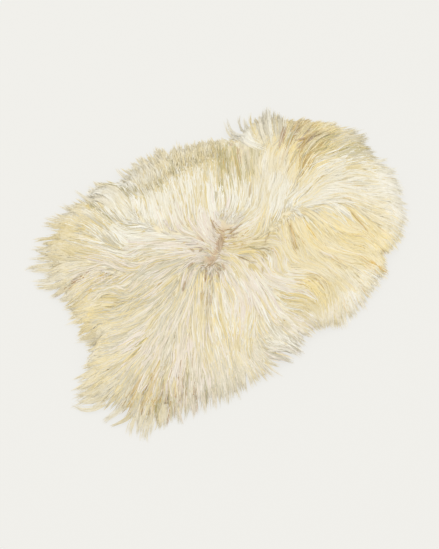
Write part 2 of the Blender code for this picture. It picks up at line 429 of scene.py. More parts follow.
def make_underwool():
    """Build the matted layer as one closed body from rings round the middle."""
    rng = np.random.default_rng(3)
    sectors = UNDERWOOL_SECTORS
    bearings = np.arange(sectors) * 360.0 / sectors
    reach = np.minimum(skin_reach(bearings) - UNDERWOOL_INSET,
                       tip_reach(bearings) - LEAST_OVERHANG / 2.0)
    top = []
    for share in np.linspace(0.0, 1.0, UNDERWOOL_RINGS + 1)[1:]:
        flat = facing(bearings) * (reach * share)[:, None]
        height = matted(wool_height(flat, FURROW_MARGIN))
        height = height + rng.uniform(-1.0, 1.0, sectors) * UNDERWOOL_FUZZ
        sloped = max(share - (1.0 - BEVEL_WIDTH), 0.0)
        height = height * (1.0 - BEVEL_DROP * sloped / BEVEL_WIDTH)
        top.append(np.column_stack((flat, height)))
    foot = np.column_stack((top[-1][:, :2], np.full(sectors, UNDERWOOL_FOOT)))
    hub_height = float(wool_height(np.zeros((1, 2)), FURROW_MARGIN)[0]) * UNDERWOOL_SHARE
    hubs = [(0.0, 0.0, hub_height), (0.0, 0.0, UNDERWOOL_FOOT)]
    points = np.vstack(top + [foot, hubs])
    points[:, :2] += MIDDLE_SHIFT
    here = np.arange(sectors)
    after = (here + 1) % sectors
    corners = []
    for ring in range(UNDERWOOL_RINGS):
        low = ring * sectors
        high = low + sectors
        corners.append(np.stack((low + here, high + here, high + after, low + after), 1).ravel())
    top_hub = np.full(sectors, len(points) - 2)
    foot_hub = np.full(sectors, len(points) - 1)
    last = UNDERWOOL_RINGS * sectors
    corners.append(np.stack((here, after, top_hub), 1).ravel())
    corners.append(np.stack((last + after, last + here, foot_hub), 1).ravel())
    sizes = np.repeat((4, 3), (UNDERWOOL_RINGS * sectors, 2 * sectors))
    return fill_mesh("underwool", points, np.concatenate(corners), sizes)


underwool = make_underwool()
underwool.data.materials.append(underwool_finish())
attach(underwool, "root")
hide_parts("fleece")


# === Long wool ===
# Silky locks up to 16 cm long, rooted in the skin and combed outward so that they lie over
# one another like thatch. Each lock is a few tapered strands that draw together towards its
# end.

LOCK_SPACING = 0.0113
LOCK_LENGTHS = (0.100, 0.165)
SHORTEST_LOCK = 0.018
STRANDS_IN_LOCK = 6
LOCK_GATHER = 0.5
LOCK_SPREAD = 0.0075
LOCK_STRAY = 3.0
# How far out the locks end, as a share of the way to the line of tips.
LOCK_FULLNESS = 0.980
SPOT_JITTER = 0.45
# Half a square that holds the whole pelt.
PELT_HALF = 0.60
SKIN_MARGIN = 0.004

# A strand: its marks from root to tip, its shape, and how it lies in its lock.
STRAND_MARKS = np.array((0.0, 0.12, 0.32, 0.54, 0.76, 1.0))
STRAND_WIDTH = 0.0024
STRAND_TAPER = ((0.0, 0.25, 0.6, 1.0), (0.55, 1.0, 0.80, 0.18))
UNEVEN_WIDTH = (0.65, 1.25)
# Its three corners stand this far out for a width of one.
STRAND_CORNER = 0.58
STRAND_FLATNESS = 0.4
STRAND_TWIST = 6.0
STRAND_ARCH = 0.0008
STRAND_SWAY = 0.0019
SWAY_TURNS = (0.8, 2.0)
STRAND_ENDS = (0.82, 1.0)
GATHER_POWER = 0.8
# All but the loose ones dip this far over their outer half.
TIP_DIP = 0.0018
TIP_DIP_POWER = 1.5
LOOSE_SHARE = 0.12
# Strands start up to this share out from their lock's root, a little under the matted top,
# and rise to their level over the given length.
ROOT_SLIDE = 0.10
ROOT_DEPTH = 0.001
ROOT_RISE = 0.014
LAYER_DEPTH = 0.0014
# How much of a strand's level in the pile is its lock's.
LOCK_LEVEL = 0.6
# No strand sinks deeper than this share of the wool that is more than thin, or lies lower.
THIN_WOOL = 0.0035
DEEPEST_SHARE = 0.75
LOWEST_STRAND = 0.0016

# Soft shading: how far a strand's own roundness gives way to its lock, and that to the sky.
SOFTNESS = 0.60
SKYWARD = 0.8

# Two partings where the roots lie close, the second fainter and towards the right end.
PARTING_SPACING = 0.0035
PARTING_ABREAST = 3
PARTING_SCATTER = 0.0025
FAINT_PARTING = ((0.175, -0.040), (0.210, -0.026), (0.250, -0.028), (0.295, -0.015))
FAINT_SPACING = 0.0045
FAINT_ABREAST = 2
# The wool beside the main parting, this near to it, is combed straight away from it.
PARTING_PULL = 0.045

# Locks stop where they come this near to the valley, but some lie across it: those whose sway
# starts below this.
VALLEY_STOP = 0.006
VALLEY_PASS = -0.4

# Which way the wool is combed, charted over the pelt in metres and degrees.
COMB_COLUMNS = ("x", "y", "heading")
COMB_LEFT_END = (
    (-0.10, 0.06, 148), (-0.15, 0.08, 150), (-0.15, 0.00, 178), (-0.20, 0.10, 176),
    (-0.25, 0.10, 116), (-0.25, 0.03, 194), (-0.30, 0.02, 142), (-0.30, 0.10, 158),
    (-0.30, 0.15, 137), (-0.35, 0.08, 185), (-0.40, 0.08, 162), (-0.43, 0.04, 163),
    (-0.35, 0.00, 142), (-0.40, -0.03, 165), (-0.44, -0.05, 153), (-0.30, -0.02, 188),
    (-0.25, -0.04, 178), (-0.40, 0.13, 172), (-0.38, 0.18, 159), (-0.35, 0.20, 112),
    (-0.43, 0.20, 150), (-0.44, 0.24, 146), (-0.40, 0.26, 146), (-0.38, 0.29, 142),
    (-0.33, 0.30, 132), (-0.30, 0.32, 122), (-0.27, 0.33, 112), (-0.30, 0.24, 128),
    (-0.25, 0.22, 100), (-0.24, 0.28, 104),
)
COMB_FAR_SIDE = (
    (-0.22, 0.15, 88), (-0.18, 0.15, 156), (-0.18, 0.22, 92), (-0.17, 0.30, 50),
    (-0.20, 0.33, 102), (-0.14, 0.33, 122), (-0.12, 0.27, 92), (-0.12, 0.20, 64),
    (-0.08, 0.12, 72), (-0.06, 0.20, 72), (-0.05, 0.28, 76), (-0.07, 0.34, 90),
    (0.00, 0.12, 60), (0.00, 0.22, 68), (0.00, 0.31, 80), (0.05, 0.15, 57),
    (0.06, 0.24, 60), (0.07, 0.31, 64), (0.10, 0.12, 60), (0.12, 0.22, 58),
    (0.12, 0.29, 62), (0.15, 0.15, 64), (0.17, 0.26, 60), (0.20, 0.20, 56),
    (0.10, 0.06, 42), (0.15, 0.07, 53), (0.20, 0.12, 65), (0.23, 0.27, 95),
    (0.25, 0.32, 70), (0.27, 0.28, 80), (0.28, 0.24, 38), (0.25, 0.17, 50),
    (0.25, 0.10, 50), (0.20, 0.05, 40), (0.25, 0.05, 36), (0.30, 0.15, 32),
    (0.30, 0.20, 8), (0.32, 0.27, 60), (0.36, 0.28, 50), (0.35, 0.22, 22),
)
COMB_RIGHT_END = (
    (0.40, 0.22, 22), (0.42, 0.19, 20), (0.37, 0.17, -4), (0.45, 0.17, 18),
    (0.40, 0.14, 8), (0.46, 0.14, -4), (0.35, 0.11, 22), (0.30, 0.07, 42),
    (0.40, 0.10, 10), (0.46, 0.09, 0), (0.51, 0.10, -5), (0.05, 0.02, -10),
    (0.10, 0.02, 4), (0.10, -0.03, 46), (0.15, -0.01, 44), (0.20, 0.00, 46),
    (0.25, 0.00, 12), (0.30, 0.03, 22), (0.35, 0.03, -2), (0.40, 0.05, -10),
    (0.45, 0.03, -6), (0.50, 0.04, -20), (0.35, -0.04, -36), (0.40, 0.00, -8),
    (0.45, -0.03, -40), (0.51, -0.04, -32), (0.45, -0.10, -16), (0.51, -0.10, -34),
    (0.42, -0.15, -37), (0.47, -0.17, -52), (0.45, -0.21, -60), (0.40, -0.10, -45),
    (0.40, -0.20, -55), (0.41, -0.25, -74), (0.36, -0.13, -80), (0.36, -0.21, -86),
    (0.33, -0.22, -78), (0.30, -0.12, -82), (0.30, -0.20, -22), (0.25, -0.10, -80),
    (0.25, -0.17, -75), (0.25, -0.24, -45), (0.31, -0.26, -77), (0.32, -0.29, -55),
    (0.26, -0.30, -62),
)
COMB_NEAR_SIDE = (
    (0.20, -0.05, -95), (0.17, -0.06, -120), (0.16, -0.11, -102), (0.20, -0.12, -96),
    (0.20, -0.20, -65), (0.20, -0.27, -88), (0.19, -0.33, -92), (0.15, -0.30, -114),
    (0.12, -0.32, -118), (0.12, -0.25, -80), (0.10, -0.20, -32), (0.05, -0.18, -57),
    (0.08, -0.13, -128), (0.05, -0.08, -70), (0.08, -0.06, -30), (0.03, -0.05, -8),
    (0.00, -0.08, -98), (0.00, -0.15, -95), (0.00, -0.22, -99), (0.05, -0.25, -34),
    (0.06, -0.30, -60), (0.00, -0.30, -66), (-0.05, -0.12, -96), (-0.06, -0.20, -130),
    (-0.05, -0.28, -92), (-0.06, -0.33, -33), (-0.11, -0.33, -84), (-0.10, -0.26, -138),
    (-0.10, -0.15, -109), (-0.07, -0.07, -118), (-0.12, -0.08, -130), (-0.15, -0.13, -128),
    (-0.15, -0.22, -107), (-0.17, -0.31, -110), (-0.20, -0.18, -122), (-0.20, -0.26, -106),
    (-0.22, -0.34, -114), (-0.15, -0.04, -134), (-0.20, -0.08, -151), (-0.25, -0.12, -144),
    (-0.25, -0.20, -124), (-0.27, -0.28, -124), (-0.28, -0.34, -120), (-0.30, -0.16, -150),
    (-0.32, -0.22, -149), (-0.33, -0.28, -125), (-0.35, -0.33, -133), (-0.38, -0.20, -158),
    (-0.38, -0.26, -145), (-0.40, -0.31, -116), (-0.45, -0.31, -120), (-0.42, -0.23, -150),
    (-0.45, -0.20, -172), (-0.48, -0.25, 177), (-0.50, -0.18, 172), (-0.54, -0.16, 176),
    (-0.48, -0.14, 178), (-0.45, -0.10, 148), (-0.50, -0.11, 172), (-0.38, -0.08, 154),
    (-0.35, -0.12, -178), (-0.30, -0.06, 174), (-0.25, -0.07, -165), (-0.20, -0.03, -170),
)
COMB = COMB_LEFT_END + COMB_FAR_SIDE + COMB_RIGHT_END + COMB_NEAR_SIDE
# How near its place each way on the chart holds, and the steps in which it is followed.
COMB_BLEND = 0.018
COMB_STEP = 0.006
COMB_STEPS = 28

# How unevenly the tips end round the rim, in degrees and as a share of their reach.
RAGGED_COLUMNS = ("bearing", "share")
RAGGED = ((0, 0.014), (35, 0.020), (70, 0.042), (120, 0.045), (160, 0.036), (200, 0.042),
          (255, 0.036), (290, 0.018), (330, 0.014))

# How the locks sway as they lie, in waves like the swells. Below them, by place and size in
# metres, is how many degrees the sway is wider there.
SWAY_WAVES = ((70.0, 45.0, 0.0, 1.0), (-120.0, 95.0, 0.0, 0.8))
SWAY_START = 0.9
CALM_SWAY = 3.0
WAVES = (
    (-0.27, 0.05, 0.09, 20.0), (-0.38, 0.02, 0.10, 6.0), (-0.05, -0.05, 0.08, 6.0),
    (0.18, -0.16, 0.10, 10.0), (0.30, -0.22, 0.08, 9.0), (0.30, -0.02, 0.12, 8.0),
    (0.38, 0.12, 0.10, 8.0), (-0.34, -0.18, 0.12, 7.0), (-0.12, -0.24, 0.14, 4.0),
)

# Wool colours as they look in even light.
TONES = {
    "cream": (237, 229, 206),
    "pearl": (243, 239, 224),
    "blush": (235, 223, 208),
    "honey": (240, 221, 164),
    "straw": (224, 206, 152),
    "olive": (196, 184, 134),
    "ash": (208, 200, 176),
    "ochre": (202, 173, 110),
    "amber": (220, 184, 106),
    "umber": (184, 150, 110),
}
TONE_NAMES = list(TONES)

# Patches of tinted wool over the plain cream: where each lies along x and y, its size, in
# metres, and how much of its tone it has. Most are the wool's own tones; those noted below are
# painted light or painted shade.
PATCHES = {
    "pearl": (
        (-0.16, 0.18, 0.09, 2.5), (0.02, 0.14, 0.10, 1.6), (0.10, 0.10, 0.06, 1.5),
        (0.234, -0.023, 0.035, 3.0), (0.40, -0.02, 0.08, 2.0), (0.22, 0.00, 0.05, 2.5),
        (-0.11, 0.32, 0.03, 1.5), (0.32, -0.09, 0.05, 1.5), (-0.03, -0.35, 0.03, 1.5),
        (-0.16, 0.22, 0.06, 1.5), (-0.30, 0.09, 0.04, 1.0), (0.24, -0.05, 0.04, 1.2),
        (0.06, -0.22, 0.05, 1.5), (-0.07, -0.21, 0.08, 1.2), (-0.19, 0.18, 0.05, 2.0),
        # These pearl patches, like the one at -0.03, -0.35, are painted light where the wool droops
        # into shade: at the foot of the lifted tuft and along the rim of the right end and near side.
        (0.25, 0.300, 0.035, 2.0), (0.535, -0.04, 0.035, 3.0), (0.525, -0.11, 0.035, 3.0),
        (0.480, -0.205, 0.030, 2.5), (0.20, -0.360, 0.035, 2.0), (0.29, -0.335, 0.035, 2.0),
        (0.43, -0.255, 0.035, 2.0),
    ),
    "blush": (
        (0.00, 0.04, 0.07, 2.5), (-0.05, 0.07, 0.05, 1.5), (-0.07, 0.05, 0.08, 2.0),
        (-0.16, 0.04, 0.10, 1.2), (-0.30, 0.11, 0.06, 1.6), (-0.34, -0.12, 0.06, 1.0),
        (-0.30, -0.25, 0.08, 1.2), (-0.05, -0.20, 0.16, 0.5), (-0.02, -0.17, 0.08, 1.2),
    ),
    "cream": (
        (0.249, -0.182, 0.030, 2.0), (0.36, -0.03, 0.08, 3.0), (0.285, 0.185, 0.05, 2.0),
        (0.235, -0.075, 0.035, 3.0), (0.290, -0.060, 0.035, 2.5), (0.190, -0.035, 0.025, 2.5),
        (0.150, -0.22, 0.045, 1.5),
    ),
    "straw": (
        (-0.20, -0.09, 0.18, 0.45), (0.00, 0.18, 0.20, 0.4), (0.13, 0.17, 0.07, 0.7),
        (0.475, -0.02, 0.03, 2.5), (-0.15, -0.22, 0.06, 0.8), (0.40, 0.12, 0.06, 2.0),
        (0.46, 0.07, 0.05, 1.0), (0.175, -0.28, 0.035, 0.5), (-0.36, -0.28, 0.05, 0.8),
        (0.41, 0.12, 0.05, 1.5), (-0.24, 0.27, 0.04, 0.9), (0.06, -0.07, 0.07, 1.6),
        (-0.28, 0.01, 0.07, 0.9), (-0.36, 0.05, 0.06, 0.5), (0.10, -0.25, 0.04, 0.7),
        (0.24, -0.15, 0.10, 0.5), (-0.33, 0.26, 0.09, 1.3), (-0.42, -0.22, 0.07, 0.5),
        (0.04, 0.275, 0.04, 0.8), (0.13, 0.255, 0.05, 1.3), (0.075, -0.285, 0.045, 1.0),
        (0.12, -0.28, 0.035, 2.0),
    ),
    # The ash at 0.487, 0.055 and at 0.365, 0.185, on the far corner of the right end, is painted shade.
    "ash": (
        (-0.22, 0.03, 0.13, 0.95), (-0.12, -0.05, 0.08, 0.8), (-0.33, -0.27, 0.10, 0.6),
        (-0.34, -0.08, 0.08, 0.4), (-0.42, -0.22, 0.07, 0.8), (-0.28, 0.13, 0.07, 1.1),
        (-0.25, 0.01, 0.045, 1.1), (-0.17, -0.045, 0.040, 1.2), (-0.20, 0.195, 0.030, 0.8),
        (-0.32, -0.01, 0.040, 0.8), (-0.24, 0.27, 0.05, 0.8), (0.487, 0.055, 0.045, 2.6),
        (-0.300, -0.315, 0.035, 1.0), (-0.05, -0.34, 0.06, 1.2), (-0.20, -0.34, 0.06, 0.5),
        (0.365, 0.185, 0.030, 2.2),
    ),
    "ochre": (
        (0.37, 0.10, 0.045, 1.3), (0.150, 0.200, 0.03, 1.0), (0.05, -0.03, 0.03, 0.8),
        (0.410, 0.132, 0.035, 1.8), (-0.385, -0.245, 0.035, 0.8), (0.38, 0.19, 0.05, 0.9),
        (0.13, -0.25, 0.025, 1.0),
    ),
    "honey": (
        (0.35, 0.06, 0.04, 3.5), (0.41, 0.16, 0.06, 1.2), (0.26, -0.16, 0.11, 1.8),
        (0.35, -0.22, 0.07, 1.6), (0.20, -0.10, 0.08, 1.3), (0.36, 0.13, 0.05, 1.0),
        (-0.40, 0.05, 0.08, 0.6), (-0.42, -0.01, 0.05, 0.8), (-0.45, -0.12, 0.06, 0.5),
        (-0.12, -0.09, 0.04, 1.2), (-0.10, -0.24, 0.07, 0.7), (0.33, 0.20, 0.08, 1.2),
        (0.13, -0.245, 0.035, 2.5), (0.095, -0.255, 0.020, 1.5),
    ),
    "amber": (
        (0.27, -0.16, 0.13, 0.15),
    ),
    "umber": (
        (0.03, 0.01, 0.03, 0.8), (0.205, 0.225, 0.020, 1.0), (0.370, 0.142, 0.028, 1.2),
        (-0.330, -0.290, 0.035, 0.8), (0.390, 0.180, 0.022, 1.6),
    ),
    # The olive patches are painted shade: along the valley and the furrows on the far side, and on the
    # far corner of the right end.
    "olive": (
        (0.155, 0.215, 0.03, 3.5), (0.185, 0.235, 0.025, 1.8), (0.195, 0.165, 0.02, 1.5),
        (0.250, 0.205, 0.02, 2.0), (0.15, 0.14, 0.03, 0.7), (0.487, 0.050, 0.038, 2.2),
        (0.430, 0.118, 0.040, 1.6),
    ),
}

# How strongly the wool in a furrow takes the furrow's tone, as painted shade.
FURROW_SHADE = 1.8
# They are uneven in long wisps that fan out from the middle. Each wave in these turns so many
# times round the middle and outward, at a strength, and the first is bent by a slower one.
WISP_WAVES = ((19.0, 25.0, 1.0), (34.0, -31.0, 1.0), (57.0, 44.0, 0.8))
WISP_BEND = (7.0, 11.0, 1.4)
WISP_TINT = 0.8
# Along the parting the wool is browner, as its roots are, and along the valley it is darker
# with painted shade: how much of a tone, and how wide.
DARK_LINES = (("umber", PARTING, 2.6, 0.012), ("olive", VALLEY, 1.3, 0.012))

# Painted shade: the wool that lies lower in the pile takes warmer, golden tones, as a mix with
# those of the wool on top.
LOW_LEVEL = 0.60
LOW_SHADE_TONES = {"cream": 0.8, "honey": 0.9, "straw": 0.7, "ochre": 0.2}
LOW_SHADE_LINES = (("umber", PARTING, 2.0, 0.07), ("olive", VALLEY, 3.0, 0.022))
TOP_IN_LOW = 1.5

# How strongly a strand is tinted, and how light it is, in steps. Some are as their lock is.
ALIKE_SHARE = 0.5
TINT_RANGE = (0.5, 1.5)
TINT_STEPS = 4
LIGHT_STEPS = 9
LIGHT_LOW = 0.86
LIGHT_STEP = 0.03
MEAN_LIGHT = 0.985
LOCK_LIGHT = 0.012
STRAND_LIGHT = 0.014
WISP_LIGHT = 0.05
# Wool lower in the pile is this much darker, as painted shade.
LOW_PAINTED_SHADE = 0.02
# Painted shade: how fast red, green and blue change from a darker strand to a lighter one, so
# that darker strands are warmer.
SHADE_WARMTH = (0.8, 1.0, 1.8)
# Where a strand begins across the flat strip of its dye, how wide each of its sides is there,
# and how far it stays off the strip's ends.
STRIP_START = 0.15
STRIP_SHARE = 0.23
STRIP_END = 0.01
# What the tint is multiplied by at the root of a strand and a little way up: painted shade of
# the roots deep in the pile, together with their warmer colour.
ROOT_SHADE = (0.94, 0.84, 0.61)
LOWER_SHADE = (0.99, 0.97, 0.89)
CLEAR = (1.0, 1.0, 1.0)


def combed_way(points):
    """Return the flat direction the wool is combed in at flat points."""
    spots = np.stack((column(COMB, COMB_COLUMNS, "x"), column(COMB, COMB_COLUMNS, "y")), -1)
    ways = facing(column(COMB, COMB_COLUMNS, "heading"))
    gap = ((points[..., None, :] - spots) ** 2).sum(axis=-1)
    weight = 1.0 / (gap + COMB_BLEND ** 2) ** 2
    way = (weight[..., None] * ways).sum(axis=-2) / weight.sum(axis=-1)[..., None]
    parting, away = away_from(points, PARTING)
    near = bell(parting, PARTING_PULL)[..., None]
    return flat_unit(flat_unit(way) * (1.0 - near) + away * near)


def turned(way, angle):
    """Turn flat directions by angles in degrees."""
    turn = np.radians(angle)
    x = way[..., 0] * np.cos(turn) - way[..., 1] * np.sin(turn)
    y = way[..., 0] * np.sin(turn) + way[..., 1] * np.cos(turn)
    return np.stack((x, y), axis=-1)


def waviness(points):
    """Return how many degrees the locks sway off the comb at flat points."""
    sway = np.full(points.shape[:-1], CALM_SWAY)
    for x, y, size, degrees in WAVES:
        gap = ((points - np.array((x, y))) ** 2).sum(axis=-1)
        sway = sway + degrees * np.exp(-gap / size ** 2)
    return sway


def points_between(lines, low, part):
    """Return points on lines, some part of the way from one numbered point to the next."""
    rows = np.arange(len(lines))[:, None]
    part = part[..., None]
    return lines[rows, low] * (1.0 - part) + lines[rows, low + 1] * part


def comb_out(roots, lengths, stray, overshoot, phase):
    """Follow the comb from each root; return each lock's middle line at its marks and length."""
    line = [roots]
    for _ in range(COMB_STEPS):
        here = line[-1]
        sway = add_waves(here[:, 0], here[:, 1], SWAY_WAVES, phase)
        way = turned(combed_way(here), waviness(here) * sway + stray)
        line.append(here + way * COMB_STEP)
    line = np.stack(line, axis=1)
    bearing, distance = polar(line)
    out = distance > tip_reach(bearing) * overshoot[:, None]
    in_valley = line_distance(line, VALLEY) < VALLEY_STOP
    from_beside = ~in_valley[:, :2].any(axis=1)
    out |= in_valley & ((phase > VALLEY_PASS) & from_beside)[:, None]
    out[:, 0] = False
    stop = np.where(out.any(axis=1), out.argmax(axis=1), COMB_STEPS).astype(float)
    stop = np.minimum(stop, lengths / COMB_STEP)
    marks = stop[:, None] * STRAND_MARKS[None, :]
    low = np.clip(np.floor(marks).astype(int), 0, COMB_STEPS - 1)
    return points_between(line, low, marks - low), stop * COMB_STEP


def wisps(points, shift):
    """Return an uneven pattern of -1 to 1 in long wisps that fan out from the middle."""
    bearing, far = polar(points)
    angle = np.radians(bearing)
    round_it, outward, strength = WISP_BEND
    bend = strength * np.sin(round_it * angle + outward * far)
    total = 0.0
    for number, (round_it, outward, strength) in enumerate(WISP_WAVES, 1):
        wave = np.sin(round_it * angle + outward * far + number * shift + bend)
        total = total + strength * wave
        bend = 0.0
    return total / sum(strength for round_it, outward, strength in WISP_WAVES)


def darken_lines(weights, points, lines):
    """Add the tones along the parting and the valley, and bring each row of weights to one."""
    for tone, line, weight, width in lines:
        weights[:, TONE_NAMES.index(tone)] += weight * bell(line_distance(points, line), width)
    return weights / weights.sum(axis=1, keepdims=True)


def tone_weights(points):
    """Return how likely each tone is for the wool on top at flat points."""
    weights = np.zeros((len(points), len(TONES)))
    weights[:, TONE_NAMES.index("cream")] = 1.0
    uneven = 1.0 + WISP_TINT * wisps(points, 1.0)
    for tone, patches in PATCHES.items():
        for x, y, size, weight in patches:
            gap = ((points - np.array((x, y))) ** 2).sum(axis=-1)
            weights[:, TONE_NAMES.index(tone)] += weight * np.exp(-gap / size ** 2) * uneven
    # Each furrow tints its wool with its tone, as painted shade.
    for row, cut in zip(FURROWS, furrow_depths(points)):
        depth = row[FURROW_COLUMNS.index("depth")]
        weights[:, TONE_NAMES.index(row[-1])] += FURROW_SHADE * cut / depth
    return darken_lines(weights, points, DARK_LINES)


def low_shade_weights(points):
    """Return how likely each tone is for the wool lying lower at flat points, in painted shade."""
    weights = np.zeros((len(points), len(TONES)))
    for tone, weight in LOW_SHADE_TONES.items():
        weights[:, TONE_NAMES.index(tone)] = weight
    return darken_lines(weights, points, LOW_SHADE_LINES)


def pick_tones(weights, rng):
    """Pick a tint for each row of weights, and how strongly it colours the cream."""
    plain = weights[:, :1]
    others = weights[:, 1:] / np.maximum(weights[:, 1:].sum(axis=1, keepdims=True), 1e-9)
    pick = (others.cumsum(axis=1) < rng.uniform(0.0, 1.0, len(weights))[:, None]).sum(axis=1)
    strength = (1.0 - plain[:, 0]) * rng.uniform(*TINT_RANGE, len(weights))
    return np.minimum(pick + 1, weights.shape[1] - 1), strength


def even_light(colour):
    """Turn a colour on a screen's scale of 0 to 255 into the light it stands for."""
    share = np.array(colour) / 255.0
    return np.where(share <= 0.04045, share / 12.92, ((share + 0.055) / 1.055) ** 2.4)


def unit(ways):
    """Return directions in space at a length of one."""
    return ways / np.maximum(np.linalg.norm(ways, axis=-1), 1e-9)[..., None]


def strand_faces(marks):
    """Return a strand's face corners, its face sizes, and each corner's place round and along."""
    corners, sizes, places = [], [], []
    for run in range(marks - 2):
        for k in range(3):
            n = (k + 1) % 3
            corners.extend((run * 3 + n, run * 3 + k, run * 3 + 3 + k, run * 3 + 3 + n))
            places.extend(((k + 1, run), (k, run), (k, run + 1), (k + 1, run + 1)))
            sizes.append(4)
    tip = (marks - 1) * 3
    for k in range(3):
        corners.extend((tip - 3 + (k + 1) % 3, tip - 3 + k, tip))
        places.extend(((k + 1, marks - 2), (k, marks - 2), (k + 0.5, marks - 1)))
        sizes.append(3)
    # The face at the root takes a sliver of the strip, just wide enough to have an area.
    corners.extend((0, 1, 2))
    places.extend(((0, 0.0), (1, 0.0), (2, 0.06)))
    sizes.append(3)
    return np.array(corners), sizes, np.array(places, dtype=float)


def soften(obj, lift):
    """Turn the shading of every strand partly to its lock and to the sky."""
    round_way = np.empty((len(obj.data.vertices), 3), dtype=np.float32)
    obj.data.vertices.foreach_get("normal", round_way.ravel())
    soft_way = np.concatenate((np.repeat(lift[:, :-1], 3, axis=1), lift[:, -1:]), axis=1)
    soft_way = soft_way.reshape(-1, 3) * (1.0 - SKYWARD) + np.array((0.0, 0.0, SKYWARD))
    soft_way = round_way * (1.0 - SOFTNESS) + soft_way * SOFTNESS
    obj.data.normals_split_custom_set_from_vertices(unit(soft_way))


def dye_and_shade(obj, tones, light, places):
    """Colour every strand evenly by its tone and its light level, painted light and shade among it, and
    lay it out flat in the strip of its own colour.
    """
    tone, strength = tones
    strength = np.clip(np.round(strength * TINT_STEPS), 0, TINT_STEPS)
    light = np.clip(np.round((light - LIGHT_LOW) / LIGHT_STEP), 0, LIGHT_STEPS - 1)
    pure = even_light(list(TONES.values()))
    shaded_dyes = pure[0] + (pure[tone] - pure[0]) * (strength / TINT_STEPS)[:, None]
    # Painted light and shade: each strand's light level scales its colour, warmer where darker.
    shaded_dyes = shaded_dyes * (LIGHT_LOW + light * LIGHT_STEP)[:, None] ** np.array(SHADE_WARMTH)
    shaded_dyes = np.concatenate((shaded_dyes, np.ones((len(shaded_dyes), 1))), axis=1)
    shaded_dyes = np.repeat(shaded_dyes, len(obj.data.vertices) // len(shaded_dyes), axis=0)
    tint = obj.data.attributes.new("tint", "FLOAT_COLOR", "POINT")
    tint.data.foreach_set("color", shaded_dyes.astype(np.float32).ravel())
    strip = ((tone * (TINT_STEPS + 1) + strength) * LIGHT_STEPS + light)[:, None]
    strips = len(TONES) * (TINT_STEPS + 1) * LIGHT_STEPS
    u = (strip + STRIP_START + STRIP_SHARE * places[None, :, 0]) / strips
    v = places[None, :, 1] / (len(STRAND_MARKS) - 1) * (1.0 - 2.0 * STRIP_END) + STRIP_END
    v = np.broadcast_to(v, u.shape)
    layer = obj.data.uv_layers.new(name="OFBake")
    layer.data.foreach_set("uv", np.stack((u, v), axis=-1).astype(np.float32).ravel())


def strand_mesh(name, lines, widths, twist, tones, light):
    """Build every strand as a closed three-sided taper along its line, in one mesh."""
    count, marks = lines.shape[:2]
    along = unit(np.gradient(lines, axis=1))
    side = unit(np.cross(along, np.array((0.0, 0.0, 1.0))))
    lift = np.cross(side, along)
    turn = np.radians(twist)[:, None, None]
    across = side * np.cos(turn) + lift * np.sin(turn)
    upward = lift * np.cos(turn) - side * np.sin(turn)
    rings = []
    for corner in (30.0, 150.0, 270.0):
        angle = math.radians(corner)
        offset = across * math.cos(angle) + upward * math.sin(angle) * STRAND_FLATNESS
        rings.append(lines + offset * widths[..., None] * STRAND_CORNER)
    body = np.stack(rings, axis=2)[:, :-1].reshape(count, -1, 3)
    points = np.concatenate((body, lines[:, -1:]), axis=1)
    corners, sizes, places = strand_faces(marks)
    first_points = (np.arange(count) * points.shape[1])[:, None]
    obj = fill_mesh(name, points.reshape(-1, 3), (corners[None, :] + first_points).ravel(),
                    np.tile(sizes, count))
    soften(obj, lift)
    dye_and_shade(obj, tones, light, places)
    return obj


def wool_finish(name, body_shade, tip_shade):
    """Silky wool fibre: each strand's own tint, with painted shade, warmer and darker, towards the
    root.
    """
    finish, tree, shader = new_finish(
        name, {"Roughness": 0.72, "Specular IOR Level": 0.20, "Sheen Weight": 0.10})
    tint = add_node(tree, "Attribute")
    tint.attribute_name = "tint"
    along = add_node(tree, "UVMap")
    along.uv_map = "OFBake"
    parts = add_node(tree, "SeparateXYZ")
    # Painted shade darkens and warms each strand towards its root, and with some finishes towards its
    # tip.
    shade = add_ramp(tree, (0.0, ROOT_SHADE), (0.20, LOWER_SHADE), (0.42, body_shade),
                     (0.80, body_shade), (1.0, tip_shade))
    shaded = add_node(tree, "Mix")
    shaded.data_type = "RGBA"
    shaded.blend_type = "MULTIPLY"
    set_inputs(shaded, {"Factor": 1.0})
    connect(tree,
            (along, "UV", parts, "Vector"),
            (parts, "Y", shade, "Fac"),
            (tint, "Color", shaded, "A"),
            (shade, "Color", shaded, "B"),
            (shaded, "Result", shader, "Base Color"))
    return finish


def skin_spots(spacing, seed, margin):
    """Return flat spots scattered evenly over the skin."""
    rng = np.random.default_rng(seed)
    steps = np.arange(-PELT_HALF, PELT_HALF, spacing)
    grid = np.stack(np.meshgrid(steps, steps), axis=-1).reshape(-1, 2)
    every_other_row = np.round(grid[:, 1] / spacing) % 2
    grid[:, 0] += every_other_row * spacing * 0.5
    grid += rng.uniform(-SPOT_JITTER, SPOT_JITTER, grid.shape) * spacing
    bearing, distance = polar(grid)
    return grid[distance < skin_reach(bearing) - margin]


def spaced_along(line, spacing):
    """Give evenly spaced spots on each straight run of a line, with the way to its left."""
    for start, end in zip(np.array(line[:-1]), np.array(line[1:])):
        run = end - start
        length = np.hypot(*run)
        count = int(length / spacing)
        along = (np.arange(count) + 0.5)[:, None] / count
        yield start + run * along, np.array((-run[1], run[0])) / length


def parting_spots(line, spacing, abreast, seed):
    """Return flat spots close along both sides of a line that the wool is combed away from."""
    rng = np.random.default_rng(seed)
    spots = np.concatenate([spots for spots, _ in spaced_along(line, spacing)])
    spots = np.repeat(spots, abreast, axis=0)
    return spots + rng.normal(0.0, PARTING_SCATTER, spots.shape)


